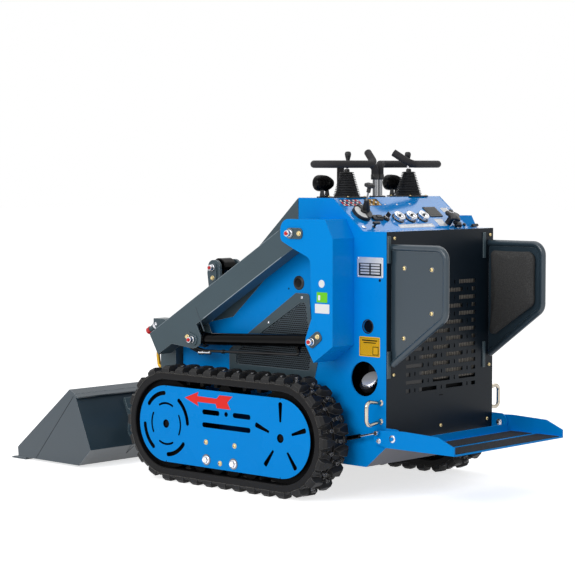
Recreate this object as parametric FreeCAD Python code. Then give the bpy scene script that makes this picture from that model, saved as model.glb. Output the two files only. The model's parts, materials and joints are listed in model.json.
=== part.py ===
import FreeCAD, Part

import math
import os

V = FreeCAD.Vector

# Stand-on mini track loader, millimetres.
# X runs forward to the bucket, Y to the operator's left, Z up from the ground.
# The places below are measured from a datum on the chassis. Each node is moved along X at the end, so that the
# origin lies under the middle of the whole machine.

# ---------------------------------------------------------------- overall sizes
BODY_HALF_WIDTH = 343.0
BODY_REAR_X = -821.0
BODY_FRONT_X = 330.0
BELLY_Z = 136.0
DECK_TOP_Z = 1075.0
CONSOLE_RISE = 129.0
CONSOLE_LENGTH = 187.0
CONSOLE_FRONT_X = -348.0
SHELF_DEPTH = 128.0
WALL = 6.0
SHEET = 4.0
SEAT_GAP = 0.3
PIN_CLEARANCE = 0.05

# hood, nose, belly and what is in the walls
HOOD_SHOULDER = (-109.0, 985.0)
HOOD_FOOT_X = 150.0
HOOD_TRIM = 8.0
NOSE_BROW = (232.0, 654.0)
NOSE_TOP = (BODY_FRONT_X, 560.0)
NOSE_LOW = (BODY_FRONT_X, 300.0)
BELLY_FRONT_X = 250.0
BELLY_REAR_X = BODY_REAR_X + 107
REAR_LOW_Z = 225.0
HOOD_LINE_HIGH = (CONSOLE_FRONT_X, 1032.0)
HOOD_LINE_BEND = (-115.0, 823.0)
HOOD_LINE_LOW = (27.0, 697.0)
MESH_OUTLINE = [(-336, 814, 6), (-409, 814, 14), (-420, 707, 8), (-456, 536, 20), (-434, 452, 14),
                (46, 452, 8), (46, 560, 8)]
MESH_LIP = 14.0
FILLER_HOLE = (BODY_REAR_X + 118, 488.0)
FILLER_HOLE_RADIUS = 70.0
FILLER_TILT_DEG = 48.0
FILLER_CAP_RADIUS = 39.0
FILLER_CAP_HEIGHT = 24.0
FILLER_NECK_RADIUS = 28.0
PORT = (BODY_REAR_X + 99, 698.0)
PORT_RADIUS = 24.0
TANK_GAP = 90.0
TANK_LENGTH = 167.0
LOUVRE_ROWS = 14
LOUVRE_PITCH = 32.6
LOUVRE_TOP_Z = 861.0
LOUVRE_STEP = 85.0
LOUVRE_LENGTH = 110.0
LOUVRE_HEIGHT = 16.0
LOUVRE_DOT = 7.0
LOUVRE_END = 27.0

# tracks
HUB_FRONT_X = 227.0
HUB_REAR_X = -435.0
LUG_TIP_RADIUS = 244.5
LUG_HEIGHT = 33.5
BAND_THICKNESS = 23.0
DRIVE_LUG_HEIGHT = 22.0
DRIVE_LUG_WIDTH = 52.0
LUG_PITCH = 83.0
TRACK_GAP = 50.0
TRACK_WIDTH = 157.0
GUARD_MARGIN = 26.0
GUARD_THICKNESS = 6.0
GUARD_RECESS = 5.0
FRAME_PLATE = 8.0
FRAME_INSET = 4.0
FRAME_MARGIN = 70.0
AXLE_RADIUS = 14.0
RIM_WIDTH = 22.0
RIM_GAP = 5.0
ROLLER_RADIUS = 42.0
ROLLER_COUNT = 4
WHEEL_GAP = 5.0
TOOTH_RADIUS = 9.0

# lift arms and towers
TOWER_GAP = 17.0
TOWER_PLATE = 12.0
TOWER_NOSE = 57.0
ARM_WIDTH = 76.0
ARM_SIDE_GAP = 6.0
ARM_PIVOT = (-424.0, 1064.0)
ARM_DEPTH = 101.0
ARM_END_X = 398.8
ARM_TRACK_GAP = 76.7
CHEEK = 6.0
LIFT_BASE = (-545.0, 635.0)
LIFT_EYE_ALONG = 736.5
LIFT_EYE_BELOW = 96.4
PIVOT_PIN_RADIUS = 20.0
LIFT_PIN_RADIUS = 14.0
PIN_HEAD = 9.0
PIN_TAIL = 5.0

# cylinders
LIFT_BARREL_RADIUS = 26.0
LIFT_ROD_RADIUS = 14.0
LIFT_EYE_RADIUS = 29.0
LIFT_EYE_WIDTH = 40.0
TILT_RETRACT = 55.0
TILT_BARREL_RADIUS = 28.0
TILT_ROD_RADIUS = 15.0
TILT_EYE_RADIUS = 27.0
TILT_EYE_WIDTH = 50.0
TILT_BASE_RISE = 271.0
TILT_EYE = (664.0, 310.0)
TILT_BRACKET_GAP = 112.0
TILT_BRACKET_PLATE = 12.0
BARREL_WALL = 5.0
PISTON_LENGTH = 30.0
HOSE_RADIUS = 6.0
HOSE_DROP = 58.0
HOSE_BEND = 60.0
HOSE_PORT_AT = 570.0
HOSE_PORT_LENGTH = 8.0
HOSE_PORT_RADIUS = 10.0
LINE_RADIUS = 8.0

# front legs and quick coupler
LEG_WIDTH = 72.0
LEG_FRONT_X = 441.0
COUPLER_PIVOT = (620.0, 165.0)
LEG_END_RADIUS = 42.0
COUPLER_PIN_RADIUS = 17.5
COUPLER_PLATE = 12.0
EAR_GAP = 6.0
LOW_TUBE_RADIUS = 30.0
AUX_PLUG_RADIUS = 13.0
AUX_PLUG_LENGTH = 75.0
AUX_COLLAR_RADIUS = 16.0
AUX_COLLAR_LENGTH = 34.0
AUX_BLOCK_WIDTH = 68.0

# bucket
BUCKET_OVERHANG = 15.0
BUCKET_TIP_X = 1233.0
BUCKET_SHEET = 6.0
EDGE_THICKNESS = 10.0
EDGE_LENGTH = 104.0
EDGE_BEVEL = 22.0
SIDE_FRONT_SETBACK = 45.0
SIDE_FRONT_Z = 54.0
BUCKET_HEEL_X = 766.0
BUCKET_BACK_LOW = (688.0, 85.0)
BUCKET_BACK_HIGH = (792.0, 327.0)
BUCKET_TOP = (826.0, 344.0)

# platform
PLATFORM_OVERHANG = 17.0
PLATFORM_PIVOT_SETBACK = 43.0
PLATFORM_PIVOT_Z = 264.0
PLATFORM_LENGTH = 354.0
PLATFORM_DECK_LENGTH = 270.0
PLATFORM_FLANGE = 7.0
PLATFORM_BOTTOM_Z = 226.0
PLATFORM_TOP_Z = 298.0
PLATFORM_SHEET = 6.0
PLATFORM_FRONT_RISE = 36.0
PLATFORM_FRONT_INSET = 31.0
PLATFORM_PIN_RADIUS = 8.0
BRACKET_PLATE = 8.0
BRACKET_GAP = 4.0
STRUT_STUD = (-793.0, 283.0)
STRUT_BASE = (-548.0, 226.0)
STRUT_OFFSET = 14.0
STRUT_BARREL_RADIUS = 9.0
STRUT_ROD_RADIUS = 4.0
STRUT_EYE_HALF = 6.0
STRUT_ROD_SHOWN = 88.0
STUD_RADIUS = 5.0
STUD_GAP = 0.5

# hip pads, bars and controls
PAD_INSET = 27.0
PAD_LENGTH = 285.0
PAD_DROP = 48.0
PAD_LOW_REAR_Z = 737.0
PAD_LOW_FRONT_Z = 534.0
PAD_TUBE_RADIUS = 13.0
PAD_BEND = 45.0
PAD_PLATE = 4.0
PAD_FOAM = 28.0
PAD_FOAM_MARGIN = 6.0
PAD_FOAM_SETBACK = 14.0
BAR_RISE = 136.0
BAR_RADIUS = 15.0
BAR_BEND = 44.0
POST_Y = 16.0
POST_SETBACK = 130.0
BAR_FRONT_SETBACK = 71.0
BAR_REAR_SETBACK = 184.0
BAR_END_Y = 354.0
SIDE_POST_Y = 165.0
GRIP_SETBACK = 215.0
GRIP_Y = 116.0
GRIP_TIP = (-496.0, 83.0)
GRIP_RISE = 48.0
STICK_SETBACK = 135.0
STICK_Y = 198.0
STICK_LEAN = 6.0
STICK_RADIUS = 5.0
BELLOWS_BASE_RADIUS = 54.0
BELLOWS_TOP_RADIUS = 32.0
BELLOWS_HEIGHT = 96.0
KNOB_RISE = 168.0
KNOB_HALF = 20.0
KNOB_RADIUS = 13.0
LAMP_SETBACK = 34.0
LAMP_Y = 223.0
LAMP_RISE = 58.0
LAMP_RADIUS = 34.0
LAMP_DEPTH = 84.0
LAMP_STAND = 10.0
GAUGE_RADIUS = 23.0
GAUGE_HEIGHT = 16.0
QUADRANT_RADIUS = 50.0
QUADRANT_THICKNESS = 14.0

QUADRANT_SHARE = 0.46
QUADRANT_Y = 262.0
LEVER_REACH = (40.0, 112.0)
LEVER_KNOB_RADIUS = 15.0
GAUGE_SHARE = 0.33
GAUGE_YS = (62.0, -15.0, -94.0)
# share of the way up the slope, place across, radius and height
SMALL_CONTROLS = ((0.36, 188.0, 20.0, 9.0), (0.34, 137.0, 14.0, 25.0), (0.50, -196.0, 26.0, 5.0),
                  (0.11, -223.0, 20.0, 50.0), (0.10, 255.0, 9.0, 24.0))

# tie-down loops
LOOP_SETBACK = 32.0
LOOP_REACH = 86.0
LOOP_BAR_HALF = 49.0
LOOP_ROOT_HALF = 36.0
LOOP_Z = 362.0
LOOP_RADIUS = 8.0
LOOP_BEND = 22.0

SIDES = (("left", 1), ("right", -1))
NODES = {}


# ---------------------------------------------------------------- shape helpers
def add(name, *solids):
    """Store a node made of one or more solids."""
    NODES[name] = list(solids)


def box(x_low, x_high, y_low, y_high, z_low, z_high):
    return Part.makeBox(x_high - x_low, y_high - y_low, z_high - z_low, V(x_low, y_low, z_low))


def rod(start, end, radius):
    """Round bar from start to end."""
    axis = V(*end) - V(*start)
    return Part.makeCylinder(radius, axis.Length, V(*start), axis)


def rod_y(centre, radius, y_low, y_high):
    """Round bar along Y at (x, z)."""
    return Part.makeCylinder(radius, y_high - y_low, V(centre[0], y_low, centre[1]), V(0, 1, 0))


def join(first, *others):
    return first.fuse(list(others)).removeSplitter()


def mirrored(shape):
    return shape.mirror(V(0, 0, 0), V(0, 1, 0))


def for_side(shape, sign):
    return shape if sign > 0 else mirrored(shape)


def rounded_edges(points, to_vector):
    """Closed outline from (a, b, corner radius) items; a missing radius is a sharp corner."""
    count = len(points)
    entries = []
    for index in range(count):
        before = points[index - 1]
        here = points[index]
        after = points[(index + 1) % count]
        radius = here[2] if len(here) > 2 else 0.0
        corner = V(here[0], here[1], 0)
        if radius <= 0:
            entries.append((corner, None, corner))
            continue
        to_before = V(before[0], before[1], 0) - corner
        to_after = V(after[0], after[1], 0) - corner
        turn = to_before.getAngle(to_after)
        reach = min(radius / math.tan(turn / 2), 0.499 * to_before.Length, 0.499 * to_after.Length)
        real_radius = reach * math.tan(turn / 2)
        to_before.normalize()
        to_after.normalize()
        middle = to_before + to_after
        middle.normalize()
        depth = real_radius / math.sin(turn / 2) - real_radius
        entries.append((corner + to_before * reach, corner + middle * depth, corner + to_after * reach))
    edges = []
    for index in range(count):
        first, via, last = entries[index]
        following = entries[(index + 1) % count][0]
        if via is not None:
            edges.append(Part.Arc(to_vector(first), to_vector(via), to_vector(last)).toShape())
        if (following - last).Length > 1e-6:
            edges.append(Part.makeLine(to_vector(last), to_vector(following)))
    return edges


def profile(points, y_low, y_high):
    """Solid whose outline lies in the XZ plane and runs from y_low to y_high."""
    edges = rounded_edges(points, lambda p: V(p.x, y_low, p.y))
    return Part.Face(Part.Wire(edges)).extrude(V(0, y_high - y_low, 0))


def folded_sheet(path, thickness, y_low, y_high):
    """Sheet bent along a path in the XZ plane, with its thickness on the path's right-hand side."""
    offsets = []
    for index, point in enumerate(path):
        here = V(point[0], point[1], 0)
        normals = []
        if index > 0:
            run = here - V(*path[index - 1], 0)
            normals.append(V(run.y, -run.x, 0).normalize())
        if index < len(path) - 1:
            run = V(*path[index + 1], 0) - here
            normals.append(V(run.y, -run.x, 0).normalize())
        middle = normals[0] + normals[-1]
        middle.normalize()
        offsets.append(here + middle * (thickness / middle.dot(normals[0])))
    outline = [(p[0], p[1]) for p in path] + [(p.x, p.y) for p in reversed(offsets)]
    return profile(outline, y_low, y_high)


def bent_tube(points, radius, bend):
    """Round tube through the points, with tangent arcs at its corners."""
    corners = [V(*p) for p in points]
    edges = []
    last = corners[0]
    for index in range(1, len(corners) - 1):
        here = corners[index]
        to_before = corners[index - 1] - here
        to_after = corners[index + 1] - here
        turn = to_before.getAngle(to_after)
        reach = min(bend / math.tan(turn / 2), 0.45 * to_before.Length, 0.45 * to_after.Length)
        real_bend = reach * math.tan(turn / 2)
        to_before.normalize()
        to_after.normalize()
        middle = to_before + to_after
        middle.normalize()
        depth = real_bend / math.sin(turn / 2) - real_bend
        start = here + to_before * reach
        end = here + to_after * reach
        edges.append(Part.makeLine(last, start))
        edges.append(Part.Arc(start, here + middle * depth, end).toShape())
        last = end
    edges.append(Part.makeLine(last, corners[-1]))
    ring = Part.Wire(Part.makeCircle(radius, corners[0], corners[1] - corners[0]))
    return Part.Wire(edges).makePipeShell([ring], True, True)


def revolved_y(centre, rings):
    """Solid of revolution about Y at (x, z); rings lists (radius, y) round the half section."""
    points = [V(centre[0] + radius, y, centre[1]) for radius, y in rings]
    face = Part.Face(Part.makePolygon(points + [points[0]]))
    return face.revolve(V(centre[0], 0, centre[1]), V(0, 1, 0), 360)


# ---------------------------------------------------------------- derived places
HUB_Z = LUG_TIP_RADIUS
TRACK_TOP_Z = 2 * LUG_TIP_RADIUS
BAND_RADIUS = LUG_TIP_RADIUS - LUG_HEIGHT
BAND_INNER_RADIUS = BAND_RADIUS - BAND_THICKNESS
TRACK_INNER_Y = BODY_HALF_WIDTH + TRACK_GAP
TRACK_OUTER_Y = TRACK_INNER_Y + TRACK_WIDTH
TRACK_MIDDLE_Y = TRACK_INNER_Y + TRACK_WIDTH / 2
GUARD_RADIUS = BAND_INNER_RADIUS - GUARD_MARGIN
GUARD_OUTER_Y = TRACK_OUTER_Y - GUARD_RECESS
GUARD_INNER_Y = GUARD_OUTER_Y - GUARD_THICKNESS
BUCKET_HALF_WIDTH = TRACK_OUTER_Y + BUCKET_OVERHANG

NOSE_FALL = (HOOD_LINE_LOW[1] - NOSE_BROW[1]) / (NOSE_BROW[0] - HOOD_LINE_LOW[0])
HOOD_FOOT = (HOOD_FOOT_X, HOOD_LINE_LOW[1] - NOSE_FALL * (HOOD_FOOT_X - HOOD_LINE_LOW[0]) + SEAT_GAP)

TRACK_LENGTH = 2 * (HUB_FRONT_X - HUB_REAR_X) + 2 * math.pi * BAND_RADIUS
LUG_COUNT = round(TRACK_LENGTH / LUG_PITCH)
LUG_STEP = TRACK_LENGTH / LUG_COUNT

# the rollers stand on the band, and the outer ones clear the wheels
ROLLER_Z = HUB_Z - BAND_INNER_RADIUS + ROLLER_RADIUS + SEAT_GAP
ROLLER_INSET = math.sqrt((BAND_INNER_RADIUS + ROLLER_RADIUS + WHEEL_GAP) ** 2 - (HUB_Z - ROLLER_Z) ** 2)
ROLLER_SPACING = (HUB_FRONT_X - HUB_REAR_X - 2 * ROLLER_INSET) / (ROLLER_COUNT - 1)
ROLLER_XS = [HUB_REAR_X + ROLLER_INSET + ROLLER_SPACING * index for index in range(ROLLER_COUNT)]
TOP_ROLLER = ((HUB_REAR_X + HUB_FRONT_X) / 2, HUB_Z + BAND_INNER_RADIUS - ROLLER_RADIUS - SEAT_GAP)

CONSOLE_TOP_Z = DECK_TOP_Z + CONSOLE_RISE
CONSOLE_BACK_X = CONSOLE_FRONT_X - CONSOLE_LENGTH
SHELF_X = BODY_REAR_X + SHELF_DEPTH
PLATFORM_REAR_X = BODY_REAR_X - PLATFORM_LENGTH
X_SHIFT = -(BUCKET_TIP_X + PLATFORM_REAR_X) / 2.0

TOWER_INNER_Y = BODY_HALF_WIDTH + TOWER_GAP
ARM_INNER_Y = TOWER_INNER_Y + TOWER_PLATE + ARM_SIDE_GAP
ARM_OUTER_Y = ARM_INNER_Y + ARM_WIDTH
TOWER_OUTER_Y = ARM_OUTER_Y + ARM_SIDE_GAP + TOWER_PLATE
CYLINDER_Y = (ARM_INNER_Y + ARM_OUTER_Y) / 2
LEG_OUTER_Y = ARM_INNER_Y - ARM_SIDE_GAP
LEG_INNER_Y = LEG_OUTER_Y - LEG_WIDTH

ARM_END_Z = TRACK_TOP_Z + ARM_TRACK_GAP
ARM_LENGTH = math.hypot(ARM_END_X - ARM_PIVOT[0], ARM_PIVOT[1] - ARM_END_Z)
SLOPE = math.atan2(ARM_PIVOT[1] - ARM_END_Z, ARM_END_X - ARM_PIVOT[0])
ARM_DIR = V(math.cos(SLOPE), 0, -math.sin(SLOPE))
ARM_UP = V(math.sin(SLOPE), 0, math.cos(SLOPE))
HALF_DEPTH = ARM_DEPTH / 2


def on_arm(along, above):
    """(x, z) at a distance along the arm from its pivot and above its centre line."""
    point = V(ARM_PIVOT[0], 0, ARM_PIVOT[1]) + ARM_DIR * along + ARM_UP * above
    return (point.x, point.z)


ARM_TOP_FRONT = on_arm(ARM_LENGTH, HALF_DEPTH)
ARM_LOW_FRONT = on_arm(ARM_LENGTH, -HALF_DEPTH)
LIFT_EYE = on_arm(LIFT_EYE_ALONG, -LIFT_EYE_BELOW)
TILT_BASE = (ARM_TOP_FRONT[0] - 6, ARM_TOP_FRONT[1] + TILT_BASE_RISE)
CROSS_BACK_X = BODY_FRONT_X + 15
CROSS_BACK_LOW = (CROSS_BACK_X, ARM_LOW_FRONT[1] + 14.5)
CROSS_BACK_HIGH = (CROSS_BACK_X + 2, ARM_LOW_FRONT[1] + 117.5)
LOW_TUBE = (COUPLER_PIVOT[0] - 65, COUPLER_PIVOT[1] + 45)

AUX_BLOCK = [(385, ARM_TOP_FRONT[1] + 24.2), ARM_TOP_FRONT, (462, ARM_TOP_FRONT[1] + 3),
             (492, ARM_TOP_FRONT[1] + 31), (492, ARM_TOP_FRONT[1] + 58), (426, ARM_TOP_FRONT[1] + 58),
             (388, ARM_TOP_FRONT[1] + 41)]
AUX_PLUG_START = (470.0, ARM_TOP_FRONT[1] + 39.6)
AUX_PLUG_YS = (LEG_OUTER_Y - 57, LEG_OUTER_Y - 21)

BACK_HEIGHT = math.hypot(BUCKET_BACK_HIGH[0] - BUCKET_BACK_LOW[0], BUCKET_BACK_HIGH[1] - BUCKET_BACK_LOW[1])

PLATFORM_PIVOT = (BODY_REAR_X - PLATFORM_PIVOT_SETBACK, PLATFORM_PIVOT_Z)
PLATFORM_HALF_WIDTH = BODY_HALF_WIDTH + PLATFORM_OVERHANG
STRUT_Y = PLATFORM_HALF_WIDTH + STRUT_OFFSET

PAD_Y = BODY_HALF_WIDTH - PAD_INSET
BAR_Z = CONSOLE_TOP_Z + BAR_RISE
SLOPE_RUN = V(CONSOLE_BACK_X - SHELF_X, 0, CONSOLE_RISE)


# ---------------------------------------------------------------- tracks
def loop_point(length, offset):
    """Point of the track loop, at a length along the band's outer face and an offset out of it."""
    run = HUB_FRONT_X - HUB_REAR_X
    arc = math.pi * BAND_RADIUS
    length = length % (2 * run + 2 * arc)
    radius = BAND_RADIUS + offset
    if length < run:
        return V(HUB_REAR_X + length, 0, HUB_Z - radius)
    length -= run
    if length < arc:
        angle = length / BAND_RADIUS - math.pi / 2
        return V(HUB_FRONT_X + radius * math.cos(angle), 0, HUB_Z + radius * math.sin(angle))
    length -= arc
    if length < run:
        return V(HUB_FRONT_X - length, 0, HUB_Z + radius)
    angle = (length - run) / BAND_RADIUS + math.pi / 2
    return V(HUB_REAR_X + radius * math.cos(angle), 0, HUB_Z + radius * math.sin(angle))


def stadium(radius, y_low, y_high):
    """Solid of the loop's shape, round both hubs."""
    ends = [rod_y((x, HUB_Z), radius, y_low, y_high) for x in (HUB_REAR_X, HUB_FRONT_X)]
    middle = box(HUB_REAR_X, HUB_FRONT_X, y_low, y_high, HUB_Z - radius, HUB_Z + radius)
    return join(middle, *ends)


def track():
    """Rubber track: band, two staggered rows of tread lugs and one row of drive lugs."""
    count = LUG_COUNT
    pitch = LUG_STEP
    base_half = 0.27 * pitch
    crest_half = 0.19 * pitch
    halves = []
    for row in range(2):
        y_low = TRACK_INNER_Y + row * TRACK_WIDTH / 2
        shift = V(0, y_low, 0)
        edges = []
        for index in range(count):
            middle = (index + 0.5 * row) * pitch
            corners = [
                loop_point(middle - base_half, 0) + shift,
                loop_point(middle - crest_half, LUG_HEIGHT) + shift,
                loop_point(middle + crest_half, LUG_HEIGHT) + shift,
                loop_point(middle + base_half, 0) + shift,
            ]
            edges += [Part.makeLine(corners[i], corners[i + 1]) for i in range(3)]
            via = loop_point(middle + pitch / 2, 0) + shift
            next_base = loop_point(middle + pitch - base_half, 0) + shift
            if via.distanceToLine(corners[3], next_base - corners[3]) < 0.01:
                edges.append(Part.makeLine(corners[3], next_base))
            else:
                edges.append(Part.Arc(corners[3], via, next_base).toShape())
        halves.append(Part.Face(Part.Wire(edges)).extrude(V(0, TRACK_WIDTH / 2, 0)))
    hollow = stadium(BAND_INNER_RADIUS, TRACK_INNER_Y - 1, TRACK_OUTER_Y + 1)
    band = join(halves[0], halves[1]).cut(hollow)
    lugs = []
    y_low = TRACK_MIDDLE_Y - DRIVE_LUG_WIDTH / 2
    inner_pitch = 0.17 * pitch
    for index in range(count):
        middle = index * pitch
        root = -BAND_THICKNESS + 2
        tip = -BAND_THICKNESS - DRIVE_LUG_HEIGHT
        corners = [
            loop_point(middle - inner_pitch, root),
            loop_point(middle - 0.6 * inner_pitch, tip),
            loop_point(middle + 0.6 * inner_pitch, tip),
            loop_point(middle + inner_pitch, root),
        ]
        lugs.append(profile([(p.x, p.z) for p in corners], y_low, y_low + DRIVE_LUG_WIDTH))
    return join(band, *lugs)


def wheel(centre, rim_radius, hub_radius):
    """Track wheel: two rims either side of the drive lugs, on one hub, bored for its axle."""
    groove = DRIVE_LUG_WIDTH / 2 + RIM_GAP
    outer = groove + RIM_WIDTH
    middle = TRACK_MIDDLE_Y
    bore = AXLE_RADIUS + PIN_CLEARANCE
    rings = [
        (bore, middle - outer), (rim_radius, middle - outer), (rim_radius, middle - groove),
        (hub_radius, middle - groove), (hub_radius, middle + groove),
        (rim_radius, middle + groove), (rim_radius, middle + outer), (bore, middle + outer),
    ]
    return revolved_y(centre, rings)


def sprocket():
    """Drive wheel: two rims with round teeth between them, spaced to the drive lugs."""
    hub_radius = BAND_INNER_RADIUS - DRIVE_LUG_HEIGHT - 16
    tooth_circle = BAND_INNER_RADIUS - DRIVE_LUG_HEIGHT - 2
    step = LUG_STEP / BAND_RADIUS
    reach = DRIVE_LUG_WIDTH / 2 + RIM_GAP + 0.5
    teeth = []
    for index in range(int(2 * math.pi / step)):
        angle = -math.pi / 2 - (index + 0.5) * step
        centre = (HUB_REAR_X + tooth_circle * math.cos(angle), HUB_Z + tooth_circle * math.sin(angle))
        teeth.append(rod_y(centre, TOOTH_RADIUS, TRACK_MIDDLE_Y - reach, TRACK_MIDDLE_Y + reach))
    return join(wheel((HUB_REAR_X, HUB_Z), BAND_INNER_RADIUS - SEAT_GAP, hub_radius), *teeth)


def track_frame(roller_centres):
    """Plate inside the loop, with the rollers' and wheels' axles and the mounts on the chassis."""
    low = TRACK_INNER_Y + FRAME_INSET
    high = low + FRAME_PLATE
    foot = 26.0
    mount_radius = 48.0
    motor_radius = 82.0
    pieces = [stadium(BAND_INNER_RADIUS - FRAME_MARGIN, low, high)]
    for x, z in roller_centres:
        bottom, top = (z - foot, HUB_Z) if z < HUB_Z else (HUB_Z, z + foot)
        pieces.append(box(x - foot, x + foot, low, high, bottom, top))
    for centre in [*roller_centres, (HUB_FRONT_X, HUB_Z), (HUB_REAR_X, HUB_Z)]:
        pieces.append(rod_y(centre, AXLE_RADIUS, high, GUARD_INNER_Y))
    for x in (HUB_REAR_X + 110, HUB_FRONT_X - 120):
        pieces.append(rod_y((x, HUB_Z), mount_radius, BODY_HALF_WIDTH, low))
    pieces.append(rod_y((HUB_REAR_X, HUB_Z), motor_radius, BODY_HALF_WIDTH, low))
    return join(*pieces)


def undercarriages():
    """Both tracks with everything inside their loops."""
    centres = [(x, ROLLER_Z) for x in ROLLER_XS] + [TOP_ROLLER]
    hub_radius = ROLLER_RADIUS - DRIVE_LUG_HEIGHT - 3
    rollers = [wheel(centre, ROLLER_RADIUS, hub_radius) for centre in centres]
    idler_hub = BAND_INNER_RADIUS - DRIVE_LUG_HEIGHT - 34
    idler = wheel((HUB_FRONT_X, HUB_Z), BAND_INNER_RADIUS - SEAT_GAP, idler_hub)
    frame = track_frame(centres)
    guard = stadium(GUARD_RADIUS, GUARD_INNER_Y, GUARD_OUTER_Y).cut(guard_cutouts())
    loop = track()
    drive = sprocket()
    for side, sign in SIDES:
        add("track_" + side, for_side(loop, sign))
        add("track_frame_" + side, for_side(frame, sign))
        add("track_guard_" + side, for_side(guard, sign))
        add("sprocket_" + side, for_side(drive, sign))
    add("idlers", idler, mirrored(idler))
    add("rollers", *rollers, *[mirrored(roller) for roller in rollers])


def arc_slot(centre, radius, start_deg, end_deg, width):
    """Curved slot through the guard plate, with round ends."""
    low = GUARD_INNER_Y - 1
    high = GUARD_OUTER_Y + 1

    def at(angle_deg, r):
        angle = math.radians(angle_deg)
        return V(centre[0] + r * math.cos(angle), low, centre[1] + r * math.sin(angle))

    middle = (start_deg + end_deg) / 2
    half = width / 2
    outer_points = [at(angle, radius + half) for angle in (start_deg, middle, end_deg)]
    inner_points = [at(angle, radius - half) for angle in (end_deg, middle, start_deg)]
    outline = [Part.Arc(*outer_points).toShape(), Part.makeLine(outer_points[-1], inner_points[0]),
               Part.Arc(*inner_points).toShape(), Part.makeLine(inner_points[-1], outer_points[0])]
    slot = Part.Face(Part.Wire(outline)).extrude(V(0, high - low, 0))
    caps = []
    for angle in (start_deg, end_deg):
        point = at(angle, radius)
        caps.append(rod_y((point.x, point.z), half, low, high))
    return join(slot, *caps)


def guard_cutouts():
    """Holes and slots of the guard plate."""
    low = GUARD_INNER_Y - 1
    high = GUARD_OUTER_Y + 1
    front = (HUB_FRONT_X, HUB_Z)
    rear = (HUB_REAR_X, HUB_Z)
    hub_hole = 18.0
    inner_ring = GUARD_RADIUS - 75
    outer_ring = GUARD_RADIUS - 32
    spoke_inner = GUARD_RADIUS - 97
    spoke_outer = GUARD_RADIUS - 16
    spoke_tip_half = 5
    spoke_end_half = 11
    slot_half = 10.5
    cuts = [rod_y(front, hub_hole, low, high), rod_y(rear, hub_hole, low, high)]
    for quarter in range(4):
        cuts.append(arc_slot(front, inner_ring, 90 * quarter - 27, 90 * quarter + 27, 9))
        cuts.append(arc_slot(front, outer_ring, 90 * quarter + 37, 90 * quarter + 85, 18))
    for index in range(5):
        angle = math.radians(90 + 72 * index)
        outward = V(math.cos(angle), 0, math.sin(angle))
        across = V(-outward.z, 0, outward.x)
        origin = V(rear[0], 0, rear[1])
        tip = origin + outward * spoke_inner
        end = origin + outward * spoke_outer
        corners = [(tip - across * spoke_tip_half, 3), (tip + across * spoke_tip_half, 3),
                   (end + across * spoke_end_half, 8), (end - across * spoke_end_half, 8)]
        cuts.append(profile([(p.x, p.z, radius) for p, radius in corners], low, high))
    middle_x = (HUB_FRONT_X + HUB_REAR_X) / 2 - 26
    row_z = HUB_Z + 70
    slots = [(middle_x - 139, middle_x - 39, row_z), (middle_x + 39, middle_x + 139, row_z),
             (middle_x - 139, middle_x + 139, HUB_Z + 16)]
    for start, end, z in slots:
        outline = [(start, z - slot_half), (end, z - slot_half), (end, z + slot_half), (start, z + slot_half)]
        cuts.append(profile([(*point, slot_half - 0.5) for point in outline], low, high))
    cuts.append(rod_y((middle_x, row_z), 10, low, high))
    return Part.makeCompound(cuts)


# ---------------------------------------------------------------- chassis

def side_wall():
    """Left side wall, a flat plate with its openings."""
    rear = BODY_REAR_X + SHEET
    outline = [(rear, REAR_LOW_Z), (rear, DECK_TOP_Z), (SHELF_X, DECK_TOP_Z),
               (CONSOLE_BACK_X, CONSOLE_TOP_Z), (CONSOLE_FRONT_X, CONSOLE_TOP_Z), HOOD_LINE_HIGH,
               HOOD_LINE_BEND, HOOD_LINE_LOW, NOSE_BROW, NOSE_TOP, NOSE_LOW,
               (BELLY_FRONT_X, BELLY_Z), (BELLY_REAR_X, BELLY_Z)]
    low = BODY_HALF_WIDTH - WALL
    wall = profile(outline, low, BODY_HALF_WIDTH)
    shrink = []
    centre_x = sum(p[0] for p in MESH_OUTLINE) / len(MESH_OUTLINE)
    centre_z = sum(p[1] for p in MESH_OUTLINE) / len(MESH_OUTLINE)
    for x, z, radius in MESH_OUTLINE:
        away = V(x - centre_x, z - centre_z, 0)
        away.normalize()
        shrink.append((x - away.x * MESH_LIP, z - away.y * MESH_LIP, radius))
    window = profile(shrink, low - 1, BODY_HALF_WIDTH + 1)
    filler_hole = rod_y(FILLER_HOLE, FILLER_HOLE_RADIUS, low - 1, BODY_HALF_WIDTH + 1)
    port = rod_y(PORT, PORT_RADIUS, low - 1, BODY_HALF_WIDTH + 1)
    return wall.cut([window, filler_hole, port])


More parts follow.
